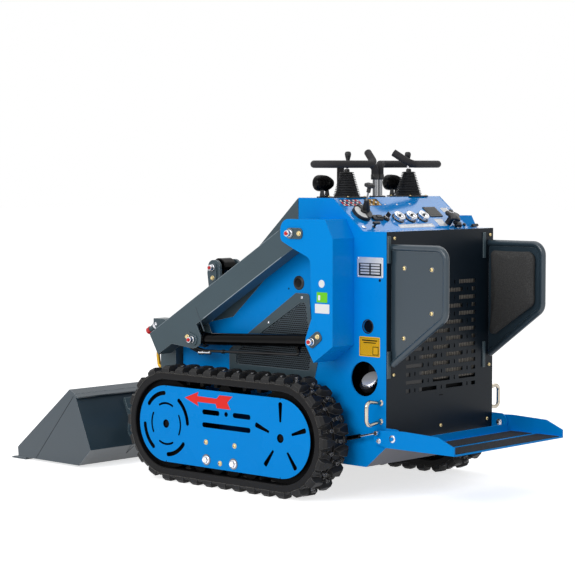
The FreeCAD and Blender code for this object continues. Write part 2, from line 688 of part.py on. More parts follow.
def chassis():
    for side, sign in SIDES:
        add("side_wall_" + side, for_side(side_wall(), sign))
    panel = profile(MESH_OUTLINE, BODY_HALF_WIDTH, BODY_HALF_WIDTH + SHEET)
    add("mesh_panels", panel, mirrored(panel))

    inner = BODY_HALF_WIDTH - WALL
    belly_path = [(BODY_REAR_X + SHEET, REAR_LOW_Z), (BELLY_REAR_X, BELLY_Z), (BELLY_FRONT_X - SHEET, BELLY_Z)]
    belly = folded_sheet(belly_path, -SHEET, -inner, inner)
    add("belly_pan", belly)
    nose = folded_sheet([(BELLY_FRONT_X, BELLY_Z), NOSE_LOW, NOSE_TOP, NOSE_BROW, HOOD_LINE_LOW],
                        -SHEET, -inner, inner)
    add("front_nose", nose)
    console = folded_sheet([(BODY_REAR_X + SHEET, DECK_TOP_Z), (SHELF_X, DECK_TOP_Z),
                            (CONSOLE_BACK_X, CONSOLE_TOP_Z), (CONSOLE_FRONT_X, CONSOLE_TOP_Z),
                            HOOD_LINE_HIGH], SHEET, -inner, inner)
    add("console", console)

    slope = V(HOOD_FOOT[0] - HOOD_SHOULDER[0], HOOD_FOOT[1] - HOOD_SHOULDER[1], 0)
    slope.normalize()
    hood_edge = (HOOD_FOOT[0] - slope.x * HOOD_TRIM, HOOD_FOOT[1] - slope.y * HOOD_TRIM)
    hood_top = folded_sheet([(CONSOLE_FRONT_X + SHEET, CONSOLE_TOP_Z - 3), HOOD_SHOULDER, hood_edge],
                            SHEET, -BODY_HALF_WIDTH, BODY_HALF_WIDTH)
    skirts = []
    skirt_outline = [(CONSOLE_FRONT_X + SHEET, CONSOLE_TOP_Z - 3), HOOD_SHOULDER, HOOD_FOOT,
                     (HOOD_LINE_LOW[0], HOOD_LINE_LOW[1] + SEAT_GAP),
                     (HOOD_LINE_BEND[0], HOOD_LINE_BEND[1] + SEAT_GAP),
                     (CONSOLE_FRONT_X + SEAT_GAP, HOOD_LINE_HIGH[1] + SEAT_GAP)]
    for sign in (1, -1):
        skirt = profile(skirt_outline, BODY_HALF_WIDTH - WALL, BODY_HALF_WIDTH)
        skirts.append(for_side(skirt, sign))
    add("hood", join(hood_top, *skirts))

    panel = box(BODY_REAR_X, BODY_REAR_X + SHEET, -BODY_HALF_WIDTH, BODY_HALF_WIDTH, REAR_LOW_Z, DECK_TOP_Z)
    add("rear_panel", panel.cut(louvres()))
    add("engine_block", box(-640, -120, -230, 230, BELLY_Z + SHEET, 640))
    add("fuel_filler", fuel_filler())


def louvres():
    """Rows of slots and dots through the rear panel; odd rows are shifted by a step and have square ends."""
    reach = 2 * LOUVRE_STEP + LOUVRE_LENGTH / 2
    cuts = []
    for row in range(LOUVRE_ROWS):
        z = LOUVRE_TOP_Z - row * LOUVRE_PITCH
        spans = []
        for place in range(-2, 3):
            width = LOUVRE_LENGTH if (place + row) % 2 == 0 else LOUVRE_DOT
            spans.append((place * LOUVRE_STEP, width))
        if row % 2:
            spans += [(side * (reach - LOUVRE_END / 2), LOUVRE_END) for _, side in SIDES]
        for y, width in spans:
            cuts.append(box(BODY_REAR_X - 1, BODY_REAR_X + SHEET + 1, y - width / 2, y + width / 2,
                            z - LOUVRE_HEIGHT / 2, z + LOUVRE_HEIGHT / 2))
    return cuts


def fuel_filler():
    """Fuel tank behind the left wall, with a filler neck that leans out and up to its cap."""
    tank_y = BODY_HALF_WIDTH - TANK_GAP
    tank = box(BODY_REAR_X + SHEET, BODY_REAR_X + SHEET + TANK_LENGTH, tank_y - 133, tank_y, 260, 640)
    tilt = math.radians(FILLER_TILT_DEG)
    axis = V(0, math.cos(tilt), math.sin(tilt))
    cap_centre = V(FILLER_HOLE[0] + 8, BODY_HALF_WIDTH - WALL - 38, FILLER_HOLE[1] - 24)
    cap_start = cap_centre - axis * (FILLER_CAP_HEIGHT / 2)
    cap = Part.makeCylinder(FILLER_CAP_RADIUS, FILLER_CAP_HEIGHT, cap_start, axis)
    neck_start = cap_start - axis * (TANK_GAP / math.cos(tilt))
    neck = Part.makeCylinder(FILLER_NECK_RADIUS, (cap_start - neck_start).Length, neck_start, axis)
    return join(tank, neck, cap)


def tower():
    """Left lift tower: outer and inner plates joined by a rear web and a top plate."""
    pivot_x, pivot_z = ARM_PIVOT
    base_x, base_z = LIFT_BASE
    top_z = pivot_z + TOWER_NOSE
    rear_x = base_x - 104
    chamfer_x = base_x - 63
    outline = [(chamfer_x, top_z), (pivot_x + TOWER_NOSE, top_z, TOWER_NOSE),
               (pivot_x + TOWER_NOSE, pivot_z - 30, 24), (pivot_x - 12, pivot_z - 61, 20),
               (pivot_x - 104, pivot_z - 98, 30), (pivot_x - 116, base_z + 100, 20),
               (base_x + 40, base_z + 12, 10), (base_x + 42, base_z - 12, 14),
               (base_x - 3, base_z - 84, 10), (rear_x, base_z - 14), (rear_x, top_z - 74)]
    outer_low = TOWER_OUTER_Y - TOWER_PLATE
    outer = profile(outline, outer_low, TOWER_OUTER_Y)
    inner = profile(outline, TOWER_INNER_Y, TOWER_INNER_Y + TOWER_PLATE)
    web = folded_sheet([(base_x - 3, base_z - 84), (rear_x, base_z - 14), (rear_x, top_z - 74),
                        (chamfer_x, top_z), (pivot_x - 49, top_z)], TOWER_PLATE / 2,
                       BODY_HALF_WIDTH, TOWER_OUTER_Y)
    body = join(outer, inner, web)
    low = TOWER_INNER_Y - 1
    high = TOWER_OUTER_Y + 1
    pivot_bore = rod_y(ARM_PIVOT, PIVOT_PIN_RADIUS + PIN_CLEARANCE, low, high)
    base_bore = rod_y(LIFT_BASE, LIFT_PIN_RADIUS + PIN_CLEARANCE, low, high)
    return body.cut([pivot_bore, base_bore])


def towers():
    """Towers, their pins and the rear strut's pin."""
    pins = []
    for side, sign in SIDES:
        add("tower_" + side, for_side(tower(), sign))
        pivot_pin = rod_y(ARM_PIVOT, PIVOT_PIN_RADIUS, TOWER_INNER_Y - PIN_TAIL, TOWER_OUTER_Y + PIN_HEAD)
        pins.append(for_side(pivot_pin, sign))
        for low, high in ((TOWER_INNER_Y - PIN_TAIL, TOWER_INNER_Y + TOWER_PLATE),
                          (TOWER_OUTER_Y - TOWER_PLATE, TOWER_OUTER_Y + PIN_HEAD)):
            pins.append(for_side(rod_y(LIFT_BASE, LIFT_PIN_RADIUS, low, high), sign))
    pins.append(rod_y(STRUT_BASE, STRUT_ROD_RADIUS, BODY_HALF_WIDTH, STRUT_Y + STRUT_BARREL_RADIUS))
    add("frame_pins", *pins)


# ---------------------------------------------------------------- lift arms
def lift_arm():
    """Left arm: box beam with open cheeks at its front for the lift cylinder's eye."""
    beam = profile([(*on_arm(-HALF_DEPTH, HALF_DEPTH), HALF_DEPTH - 0.5), ARM_TOP_FRONT,
                    ARM_LOW_FRONT, (*on_arm(-HALF_DEPTH, -HALF_DEPTH), HALF_DEPTH - 0.5)],
                   ARM_INNER_Y, ARM_OUTER_Y)
    eye_x, eye_z = LIFT_EYE
    cheek = [(eye_x - 45, eye_z + 19), (eye_x + 16, eye_z + 127), ARM_TOP_FRONT, ARM_LOW_FRONT,
             (eye_x + 130, eye_z - 26), (eye_x - 5, eye_z - 39, 32), (eye_x - 43, eye_z - 20, 22)]
    cheeks = [profile(cheek, ARM_OUTER_Y - CHEEK, ARM_OUTER_Y),
              profile(cheek, ARM_INNER_Y, ARM_INNER_Y + CHEEK)]
    bores = [rod_y(ARM_PIVOT, PIVOT_PIN_RADIUS + PIN_CLEARANCE, ARM_INNER_Y - 1, ARM_OUTER_Y + 1),
             rod_y(LIFT_EYE, LIFT_PIN_RADIUS + PIN_CLEARANCE, ARM_INNER_Y - 1, ARM_OUTER_Y + 1)]
    return join(beam, *cheeks).cut(bores)


def leg():
    """Left front leg, from the cross box down to the coupler pivot."""
    pivot_x, pivot_z = COUPLER_PIVOT
    outline = [CROSS_BACK_LOW, CROSS_BACK_HIGH, ARM_TOP_FRONT, (LEG_FRONT_X, ARM_TOP_FRONT[1] - 24),
               (LEG_FRONT_X, ARM_LOW_FRONT[1] - 92, 60),
               (pivot_x + LEG_END_RADIUS - 10, pivot_z + LEG_END_RADIUS + 6, 40),
               (pivot_x + LEG_END_RADIUS, pivot_z - LEG_END_RADIUS, LEG_END_RADIUS - 1),
               (pivot_x - LEG_END_RADIUS, pivot_z - LEG_END_RADIUS + 6, 30), (395, 330, 60), (350, 420, 30)]
    shape = profile(outline, LEG_INNER_Y, LEG_OUTER_Y)
    bore = rod_y(COUPLER_PIVOT, COUPLER_PIN_RADIUS + PIN_CLEARANCE, LEG_INNER_Y - 1, ARM_INNER_Y)
    return shape.cut(bore)


def cross_box():
    """Box between the arms, with the two legs, the low tube and the tilt cylinder's bracket."""
    box_outline = [ARM_TOP_FRONT, ARM_LOW_FRONT, CROSS_BACK_LOW, CROSS_BACK_HIGH,
                   on_arm(ARM_LENGTH - 82, HALF_DEPTH)]
    cross = profile(box_outline, -ARM_INNER_Y, ARM_INNER_Y)
    legs = [for_side(leg(), sign) for _, sign in SIDES]
    low_tube = rod_y(LOW_TUBE, LOW_TUBE_RADIUS, -LEG_INNER_Y, LEG_INNER_Y)
    pin_x, pin_z = TILT_BASE
    bracket = [(CROSS_BACK_X + 5, CROSS_BACK_HIGH[1] - 20), (ARM_TOP_FRONT[0], ARM_TOP_FRONT[1] - 5),
               (pin_x + 40, pin_z - 25, 12), (pin_x + 30, pin_z + 34, 32), (pin_x - 36, pin_z + 34, 30),
               (pin_x - 42, pin_z - 40, 20)]
    inner = TILT_BRACKET_GAP / 2
    outer = inner + TILT_BRACKET_PLATE
    plates = [profile(bracket, inner, outer), profile(bracket, -outer, -inner)]
    pin_bore = rod_y(TILT_BASE, LIFT_PIN_RADIUS + PIN_CLEARANCE, -outer - 1, outer + 1)
    return join(cross, *legs, low_tube, *plates).cut(pin_bore)


def aux_couplers():
    """Valve block on the cross box by the left arm, with two quick couplers that point forward."""
    middle = sum(AUX_PLUG_YS) / 2
    block = profile(AUX_BLOCK, middle - AUX_BLOCK_WIDTH / 2, middle + AUX_BLOCK_WIDTH / 2)
    plugs = []
    for y in AUX_PLUG_YS:
        start = V(AUX_PLUG_START[0], y, AUX_PLUG_START[1])
        plugs.append(Part.makeCylinder(AUX_PLUG_RADIUS, AUX_PLUG_LENGTH, start, ARM_DIR))
        plugs.append(Part.makeCylinder(AUX_COLLAR_RADIUS, AUX_COLLAR_LENGTH, start, ARM_DIR))
    return join(block, *plugs)


def aux_lines():
    """Two tubes from the valve block down the front of the left leg."""
    lines = []
    top_z = ARM_TOP_FRONT[1] + 1
    low_z = top_z - 155
    for y in AUX_PLUG_YS:
        path = [(452, y, top_z), (452, y, top_z - 40), (482, y, top_z - 92), (472, y, low_z),
                (LEG_FRONT_X + SEAT_GAP, y, low_z)]
        lines.append(bent_tube(path, LINE_RADIUS, 60))
    return lines


def lift_arms():
    for side, sign in SIDES:
        add("lift_arm_" + side, for_side(lift_arm(), sign))
    add("arm_cross_box", cross_box())
    reach = TILT_BRACKET_GAP / 2 + TILT_BRACKET_PLATE + PIN_HEAD
    tilt_pin = rod_y(TILT_BASE, LIFT_PIN_RADIUS, -reach, reach)
    eye_pin = rod_y(LIFT_EYE, LIFT_PIN_RADIUS, ARM_INNER_Y, ARM_OUTER_Y + PIN_HEAD)
    add("arm_pins", tilt_pin, eye_pin, mirrored(eye_pin))
    add("aux_couplers", aux_couplers())
    add("aux_lines", *aux_lines())


# ---------------------------------------------------------------- cylinders
def cylinder(base, eye, y, barrel_radius, rod_radius, eye_radius, eye_width, retract):
    """Barrel and rod of a hydraulic cylinder lying from its base pin (x, z) to its rod's eye (x, z)."""
    start = V(base[0], y, base[1])
    end = V(eye[0], y, eye[1])
    axis = end - start
    length = axis.Length
    axis.normalize()
    gland_length = 20.0
    tube_end = start + axis * (length - eye_radius - 4 - retract)
    tube = rod(start + axis * (barrel_radius * 0.6), tube_end, barrel_radius)
    eye_block = rod_y(base, eye_radius, y - eye_width / 2, y + eye_width / 2)
    cavity_start = start + axis * (eye_radius + 12)
    cavity = rod(cavity_start, tube_end - axis * (gland_length - 2), barrel_radius - BARREL_WALL)
    bore = rod_y(base, LIFT_PIN_RADIUS + PIN_CLEARANCE, y - eye_width, y + eye_width)
    gland_bore = rod(tube_end - axis * gland_length, tube_end + axis, rod_radius + PIN_CLEARANCE)
    barrel = join(tube, eye_block).cut([cavity, bore, gland_bore])
    piston_start = start + axis * (eye_radius + 20 + retract)
    piston = rod(piston_start, piston_start + axis * PISTON_LENGTH, barrel_radius - BARREL_WALL - PIN_CLEARANCE)
    rod_bar = rod(piston_start, end, rod_radius)
    rod_eye = rod_y(eye, eye_radius, y - eye_width / 2, y + eye_width / 2)
    return barrel, join(piston, rod_bar, rod_eye)


def beside_lift(distance, drop):
    """Point at a distance along the lift cylinder from the arm's eye and below its centre line."""
    along = V(LIFT_BASE[0] - LIFT_EYE[0], 0, LIFT_BASE[1] - LIFT_EYE[1])
    along.normalize()
    below = V(along.z, 0, -along.x)
    if below.z > 0:
        below = below * -1
    return V(LIFT_EYE[0], CYLINDER_Y, LIFT_EYE[1]) + along * distance + below * drop


def lift_hose():
    """Left lift cylinder's hose: from its port near the gland, along under the barrel, up into the arm."""
    places = [(HOSE_PORT_AT, LIFT_BARREL_RADIUS + HOSE_PORT_LENGTH), (HOSE_PORT_AT, HOSE_DROP),
              (30, HOSE_DROP - 8), (-45, HOSE_DROP - 26), (-72, 4)]
    return bent_tube([tuple(beside_lift(*place)) for place in places], HOSE_RADIUS, HOSE_BEND)


def cylinders():
    barrel, rod_part = cylinder(LIFT_EYE, LIFT_BASE, CYLINDER_Y, LIFT_BARREL_RADIUS, LIFT_ROD_RADIUS,
                                LIFT_EYE_RADIUS, LIFT_EYE_WIDTH, 0)
    port = rod(beside_lift(HOSE_PORT_AT, LIFT_BARREL_RADIUS - 2),
               beside_lift(HOSE_PORT_AT, LIFT_BARREL_RADIUS + HOSE_PORT_LENGTH), HOSE_PORT_RADIUS)
    barrel = join(barrel, port)
    hose = lift_hose()
    for side, sign in SIDES:
        add("lift_barrel_" + side, for_side(barrel, sign))
        add("lift_rod_" + side, for_side(rod_part, sign))
        add("lift_hose_" + side, for_side(hose, sign))
    barrel, rod_part = cylinder(TILT_BASE, TILT_EYE, 0, TILT_BARREL_RADIUS, TILT_ROD_RADIUS,
                                TILT_EYE_RADIUS, TILT_EYE_WIDTH, TILT_RETRACT)
    add("tilt_barrel", barrel)
    add("tilt_rod", rod_part)


# ---------------------------------------------------------------- coupler and bucket
def back_line(along, behind):
    """(x, z) beside the bucket's back: along it from its lower corner, and behind it."""
    low = V(BUCKET_BACK_LOW[0], BUCKET_BACK_LOW[1], 0)
    run = V(BUCKET_BACK_HIGH[0], BUCKET_BACK_HIGH[1], 0) - low
    run.normalize()
    rear = V(-run.y, run.x, 0)
    point = low + run * along + rear * behind
    return (point.x, point.y)


def quick_coupler():
    """Plate behind the bucket, with ears for the legs and for the tilt cylinder."""
    pivot_x, pivot_z = COUPLER_PIVOT
    half_width = LEG_INNER_Y - EAR_GAP
    low = 20
    high = BACK_HEIGHT - 46
    plate = profile([back_line(low, 0), back_line(high, 0), back_line(high, COUPLER_PLATE),
                     back_line(low, COUPLER_PLATE)], -half_width, half_width)
    ear = [back_line(30, 2), back_line(BACK_HEIGHT - 90, 2), (pivot_x - 20, pivot_z + 38, 30),
           (pivot_x - 38, pivot_z - 6, 30), (pivot_x + 6, pivot_z - 36, 26)]
    ear_left = profile(ear, half_width - COUPLER_PLATE, half_width)
    tilt_x, tilt_z = TILT_EYE
    tilt_ear = [back_line(BACK_HEIGHT - 140, 2), back_line(BACK_HEIGHT - 48, 2), (tilt_x + 22, tilt_z + 34, 20),
                (tilt_x - 34, tilt_z + 24, 26), (tilt_x - 24, tilt_z - 34, 26)]
    tilt_low = TILT_EYE_WIDTH / 2 + EAR_GAP
    tilt_left = profile(tilt_ear, tilt_low, tilt_low + COUPLER_PLATE)
    coupler = join(plate, ear_left, mirrored(ear_left), tilt_left, mirrored(tilt_left))
    return coupler.cut(rod_y(COUPLER_PIVOT, COUPLER_PIN_RADIUS + PIN_CLEARANCE, -half_width, half_width))


def bucket():
    """Bucket shell, side plates, cutting edge and top flange."""
    width = BUCKET_HALF_WIDTH
    floor_front = (BUCKET_TIP_X - SIDE_FRONT_SETBACK - 4, EDGE_THICKNESS)
    floor_heel = (BUCKET_HEEL_X, EDGE_THICKNESS)
    shell_path = [floor_front, floor_heel, BUCKET_BACK_LOW, BUCKET_BACK_HIGH, BUCKET_TOP]
    shell = folded_sheet(shell_path, BUCKET_SHEET, -width + BUCKET_SHEET, width - BUCKET_SHEET)
    side_outline = [*shell_path, (BUCKET_TIP_X - SIDE_FRONT_SETBACK, SIDE_FRONT_Z)]
    side = profile(side_outline, width - BUCKET_SHEET, width)
    edge_rear = BUCKET_TIP_X - EDGE_LENGTH
    bevel = BUCKET_TIP_X - EDGE_BEVEL
    edge = profile([(edge_rear, 0), (bevel, 0), (BUCKET_TIP_X, 2), (bevel, EDGE_THICKNESS),
                    (edge_rear, EDGE_THICKNESS)], -width - 3, width + 3)
    top_x, top_z = BUCKET_TOP
    flange = profile([BUCKET_TOP, (top_x - 56, top_z - 30), (top_x - 53, top_z - 36), (top_x + 3, top_z - 6)],
                     -width, width)
    return join(shell, side, mirrored(side), edge, flange)


def tool_end():
    add("quick_coupler", quick_coupler())
    pin_low = LEG_INNER_Y - EAR_GAP - COUPLER_PLATE - 4
    pin = rod_y(COUPLER_PIVOT, COUPLER_PIN_RADIUS, pin_low, LEG_OUTER_Y + 4)
    add("coupler_pins", pin, mirrored(pin))
    add("bucket", bucket())


# ---------------------------------------------------------------- platform

def platform_deck():
    """Folding platform: deck, raised front lip and two side flanges bored for the pivot pins."""
    pivot_x, pivot_z = PLATFORM_PIVOT
    outer = PLATFORM_HALF_WIDTH
    inner = outer - PLATFORM_FLANGE
    rear = PLATFORM_REAR_X
    top = PLATFORM_TOP_Z
    bottom = PLATFORM_BOTTOM_Z
    flange_outline = [(pivot_x + 96, top - 8, 14), (pivot_x - 53, top), (rear + 86, top - 6),
                      (rear + 5, top - 40), (rear + 5, bottom), (pivot_x + 34, bottom),
                      (pivot_x + 96, bottom + 14, 10)]
    flange = profile(flange_outline, inner, outer)
    deck = box(rear, rear + PLATFORM_DECK_LENGTH, -inner, inner, bottom, bottom + PLATFORM_SHEET)
    front = rear + PLATFORM_DECK_LENGTH
    reach = outer - PLATFORM_FRONT_INSET
    front_lip = box(front - PLATFORM_SHEET, front, -reach, reach, bottom, bottom + PLATFORM_FRONT_RISE)
    bore = rod_y(PLATFORM_PIVOT, PLATFORM_PIN_RADIUS + PIN_CLEARANCE, -outer - 1, outer + 1)
    return join(deck, front_lip, flange, mirrored(flange)).cut(bore)


def platform_bracket():
    """Left bracket on the rear panel, with the platform's pivot pin."""
    pivot_x, pivot_z = PLATFORM_PIVOT
    high = PLATFORM_HALF_WIDTH - PLATFORM_FLANGE - BRACKET_GAP
    top = pivot_z + 37
    bottom = pivot_z - 36
    outline = [(BODY_REAR_X, top), (pivot_x - 18, top, 30), (pivot_x - 42, pivot_z - 2, 30),
               (pivot_x - 10, bottom, 20), (BODY_REAR_X, bottom)]
    plate = profile(outline, high - BRACKET_PLATE, high)
    pin = rod_y(PLATFORM_PIVOT, PLATFORM_PIN_RADIUS, high - BRACKET_PLATE - 6, PLATFORM_HALF_WIDTH + 8)
    return join(plate, pin)


def strut():
    """Gas strut on the left: barrel on the side wall, rod with a ball stud beside the platform's flange."""
    base = V(STRUT_BASE[0], STRUT_Y, STRUT_BASE[1])
    end = V(STRUT_STUD[0], STRUT_Y, STRUT_STUD[1])
    axis = end - base
    length = axis.Length
    axis.normalize()
    barrel_end = base + axis * (length - STRUT_ROD_SHOWN)
    low = STRUT_Y - STRUT_EYE_HALF
    high = STRUT_Y + STRUT_EYE_HALF
    barrel = join(rod(base, barrel_end, STRUT_BARREL_RADIUS), rod_y(STRUT_BASE, STRUT_BARREL_RADIUS, low, high))
    hollow = rod(base + axis * 20, barrel_end + axis, STRUT_ROD_RADIUS + PIN_CLEARANCE)
    bore = rod_y(STRUT_BASE, STRUT_ROD_RADIUS + PIN_CLEARANCE, low - 10, high + 10)
    ball = rod_y(STRUT_STUD, STRUT_BARREL_RADIUS, low, high)
    stud = rod_y(STRUT_STUD, STUD_RADIUS, PLATFORM_HALF_WIDTH + STUD_GAP, low)
    return barrel.cut([hollow, bore]), join(rod(base + axis * 100, end, STRUT_ROD_RADIUS), ball, stud)


def platform():
    add("platform_deck", platform_deck())
    bracket = platform_bracket()
    add("platform_brackets", bracket, mirrored(bracket))
    barrel, rod_part = strut()
    add("strut_barrel", barrel)
    add("strut_rod", rod_part)


# ---------------------------------------------------------------- operator's station

def hip_pads():
    """Padded side guards behind the rear panel: tube rim, plate and foam."""
    rear = BODY_REAR_X - PAD_LENGTH + PAD_TUBE_RADIUS
    top = DECK_TOP_Z - PAD_DROP - PAD_TUBE_RADIUS
    low_rear = PAD_LOW_REAR_Z + PAD_TUBE_RADIUS
    low_front = PAD_LOW_FRONT_Z + PAD_TUBE_RADIUS
    rim = bent_tube([(BODY_REAR_X, PAD_Y, top), (rear, PAD_Y, top), (rear, PAD_Y, low_rear),
                     (BODY_REAR_X - 8, PAD_Y, low_front + 5)], PAD_TUBE_RADIUS, PAD_BEND)
    outline = [(BODY_REAR_X, top), (rear, top, PAD_BEND), (rear, low_rear, PAD_BEND), (BODY_REAR_X, low_front)]
    plate = profile(outline, PAD_Y - PAD_PLATE / 2, PAD_Y + PAD_PLATE / 2)
    margin = PAD_TUBE_RADIUS + PAD_FOAM_MARGIN
    front = BODY_REAR_X - PAD_FOAM_SETBACK
    outer_face = PAD_Y - PAD_PLATE / 2 - SEAT_GAP
    foam = profile([(front, top - margin, 20), (rear + margin, top - margin, 40),
                    (rear + margin, low_rear + 0.4 * margin, 40), (front, low_front + 1.6 * margin, 20)],
                   outer_face - PAD_FOAM, outer_face)
    frame = join(rim, plate)
    add("pad_frames", frame, mirrored(frame))
    for side, sign in SIDES:
        add("hip_pad_" + side, for_side(foam, sign))


def grab_bars():
    """Handle loops on the console, each with its own post, and one more post on the left."""
    front = CONSOLE_FRONT_X - BAR_FRONT_SETBACK
    rear = CONSOLE_FRONT_X - BAR_REAR_SETBACK
    post_x = CONSOLE_FRONT_X - POST_SETBACK
    grip_x = CONSOLE_FRONT_X - GRIP_SETBACK
    bar = bent_tube([(post_x, POST_Y, CONSOLE_TOP_Z), (post_x, POST_Y, BAR_Z), (front, 92, BAR_Z),
                     (front, BAR_END_Y, BAR_Z), (rear, BAR_END_Y, BAR_Z), (grip_x, GRIP_Y, BAR_Z),
                     (*GRIP_TIP, BAR_Z + GRIP_RISE)], BAR_RADIUS, BAR_BEND)
    side_post = rod((front, SIDE_POST_Y, CONSOLE_TOP_Z), (front, SIDE_POST_Y, BAR_Z), BAR_RADIUS - 2)
    add("grab_bar_left", join(bar, side_post))
    add("grab_bar_right", mirrored(bar))


def joystick():
    """Left joystick: rubber bellows, stick and knob."""
    x = CONSOLE_FRONT_X - STICK_SETBACK
    knob_z = CONSOLE_TOP_Z + KNOB_RISE
    bellows = Part.makeCone(BELLOWS_BASE_RADIUS, BELLOWS_TOP_RADIUS, BELLOWS_HEIGHT,
                            V(x, STICK_Y, CONSOLE_TOP_Z), V(0, 0, 1))
    knob_y = STICK_Y - STICK_LEAN
    stick = rod((x, STICK_Y, CONSOLE_TOP_Z + 20), (x, knob_y, knob_z), STICK_RADIUS)
    knob = rod((x, knob_y, knob_z - KNOB_HALF), (x, knob_y, knob_z + KNOB_HALF), KNOB_RADIUS)
    return join(bellows, stick, knob)


def work_light():
    """Left work light on its stand."""
    x = CONSOLE_FRONT_X - LAMP_SETBACK
    z = CONSOLE_TOP_Z + LAMP_RISE
    housing = rod((x - LAMP_DEPTH / 2, LAMP_Y, z), (x + LAMP_DEPTH / 2, LAMP_Y, z), LAMP_RADIUS)
    stand = box(x - LAMP_STAND, x + LAMP_STAND, LAMP_Y - LAMP_STAND, LAMP_Y + LAMP_STAND, CONSOLE_TOP_Z, z)
    return join(housing, stand)


def on_console(share, y, above):
    """Point on the console's slope: share of the way up it, across, and above its face."""
    normal = V(-SLOPE_RUN.z, 0, SLOPE_RUN.x)
    normal.normalize()
    point = V(SHELF_X, y, DECK_TOP_Z) + SLOPE_RUN * share + normal * above
    return (point.x, point.y, point.z)


def console_controls():
    """Instruments and hand controls on the console's slope, each a plain solid seated on it."""
    gauges = [(GAUGE_SHARE, y, GAUGE_RADIUS, GAUGE_HEIGHT) for y in GAUGE_YS]
    controls = []
    for share, y, radius, height in [*gauges, *SMALL_CONTROLS]:
        controls.append(rod(on_console(share, y, 0), on_console(share, y, height), radius))
    base_z = DECK_TOP_Z + CONSOLE_RISE * QUADRANT_SHARE
    base_x = SHELF_X + (CONSOLE_BACK_X - SHELF_X) * QUADRANT_SHARE
    disc = rod_y((base_x, base_z), QUADRANT_RADIUS, QUADRANT_Y, QUADRANT_Y + QUADRANT_THICKNESS)
    under = profile([(SHELF_X - 100, DECK_TOP_Z - 100 * SLOPE_RUN.z / SLOPE_RUN.x),
                     (CONSOLE_BACK_X + 100, CONSOLE_TOP_Z + 100 * SLOPE_RUN.z / SLOPE_RUN.x),
                     (CONSOLE_BACK_X + 100, DECK_TOP_Z - 100), (SHELF_X - 100, DECK_TOP_Z - 100)],
                    QUADRANT_Y - 1, QUADRANT_Y + QUADRANT_THICKNESS + 1)
    disc = disc.cut(under)
    middle_y = QUADRANT_Y + QUADRANT_THICKNESS / 2
    tip = (base_x + LEVER_REACH[0], middle_y, base_z + LEVER_REACH[1])
    lever = join(disc, rod((base_x, middle_y, base_z + 10), tip, STICK_RADIUS),
                 Part.makeSphere(LEVER_KNOB_RADIUS, V(*tip)))
    return [*controls, lever]


def tie_down_loop():
    """Left lashing loop of round bar on the side wall."""
    x = BODY_REAR_X + LOOP_SETBACK
    wall = BODY_HALF_WIDTH
    reach = wall + LOOP_REACH
    loop = bent_tube([(x, wall - WALL, LOOP_Z + LOOP_ROOT_HALF), (x, reach, LOOP_Z + LOOP_BAR_HALF),
                      (x, reach, LOOP_Z - LOOP_BAR_HALF), (x, wall - WALL, LOOP_Z - LOOP_ROOT_HALF)],
                     LOOP_RADIUS, LOOP_BEND)
    behind_wall = box(x - reach, x + reach, 0, wall, LOOP_Z - reach, LOOP_Z + reach)
    return loop.cut(behind_wall)


def station():
    hip_pads()
    grab_bars()
    stick = joystick()
    add("joysticks", stick, mirrored(stick))
    light = work_light()
    add("work_lights", light, mirrored(light))
    add("console_controls", *console_controls())
    loop = tie_down_loop()
    add("tie_down_loops", loop, mirrored(loop))


def main():
    os.makedirs("parts", exist_ok=True)
    undercarriages()
    chassis()
    towers()
    lift_arms()
    cylinders()
    tool_end()
    platform()
    station()
    for name, solids in NODES.items():
        shape = solids[0] if len(solids) == 1 else Part.makeCompound(solids)
        moved = shape.copy()
        moved.translate(V(X_SHIFT, 0, 0))
        moved.exportStep("parts/" + name + ".step")
        valid = "" if moved.isValid() else " INVALID"
        print(f"{name:22s} solids {len(moved.Solids)} volume {moved.Volume / 1e6:9.3f} dm3{valid}")


main()
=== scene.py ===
import json
import math

import bmesh
import bpy
from mathutils import Matrix, Vector


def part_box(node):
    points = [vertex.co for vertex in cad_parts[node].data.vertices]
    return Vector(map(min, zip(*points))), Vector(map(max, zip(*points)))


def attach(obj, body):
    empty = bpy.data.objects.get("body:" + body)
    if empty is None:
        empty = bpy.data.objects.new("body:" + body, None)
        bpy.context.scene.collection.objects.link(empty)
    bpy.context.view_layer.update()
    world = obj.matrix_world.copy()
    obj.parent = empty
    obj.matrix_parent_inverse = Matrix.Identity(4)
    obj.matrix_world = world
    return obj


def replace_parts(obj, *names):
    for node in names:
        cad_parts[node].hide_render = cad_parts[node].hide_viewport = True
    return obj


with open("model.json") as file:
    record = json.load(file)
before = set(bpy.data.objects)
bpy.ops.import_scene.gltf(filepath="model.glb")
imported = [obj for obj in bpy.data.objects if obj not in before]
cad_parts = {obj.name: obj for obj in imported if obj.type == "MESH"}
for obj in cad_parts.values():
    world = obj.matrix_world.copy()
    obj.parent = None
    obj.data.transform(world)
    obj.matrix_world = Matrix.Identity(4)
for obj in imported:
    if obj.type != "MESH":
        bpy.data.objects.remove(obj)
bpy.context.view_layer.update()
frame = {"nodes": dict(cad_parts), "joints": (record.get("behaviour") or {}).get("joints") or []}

# Places are in millimetres. X is measured from the same datum as in part.py, 821 mm ahead of the rear panel's
# outer face. Y is to the operator's left and Z above the ground.
MM = 0.001
BODY_REAR = -821.0
DATUM_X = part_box("rear_panel")[0].x - BODY_REAR * MM
HINGES = {joint["name"]: Vector(joint["pos_m"]) for joint in frame["joints"] if "pos_m" in joint}
SIDES = (("left", 1), ("right", -1))
X, Y, Z = Vector((1, 0, 0)), Vector((0, 1, 0)), Vector((0, 0, 1))


def edge_of(node, corner, axis):
    """One coordinate of a CAD node's box, in the millimetres of this script."""
    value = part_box(node)[corner][axis]
    return (value - DATUM_X) / MM if axis == 0 else value / MM


def joint_spot(name):
    place = HINGES[name]
    return (place.x - DATUM_X) / MM, place.z / MM


def spot(x, y, z):
    """Place in the frame, in metres, of a place in this script's millimetres."""
    return Vector((DATUM_X + x * MM, y * MM, z * MM))


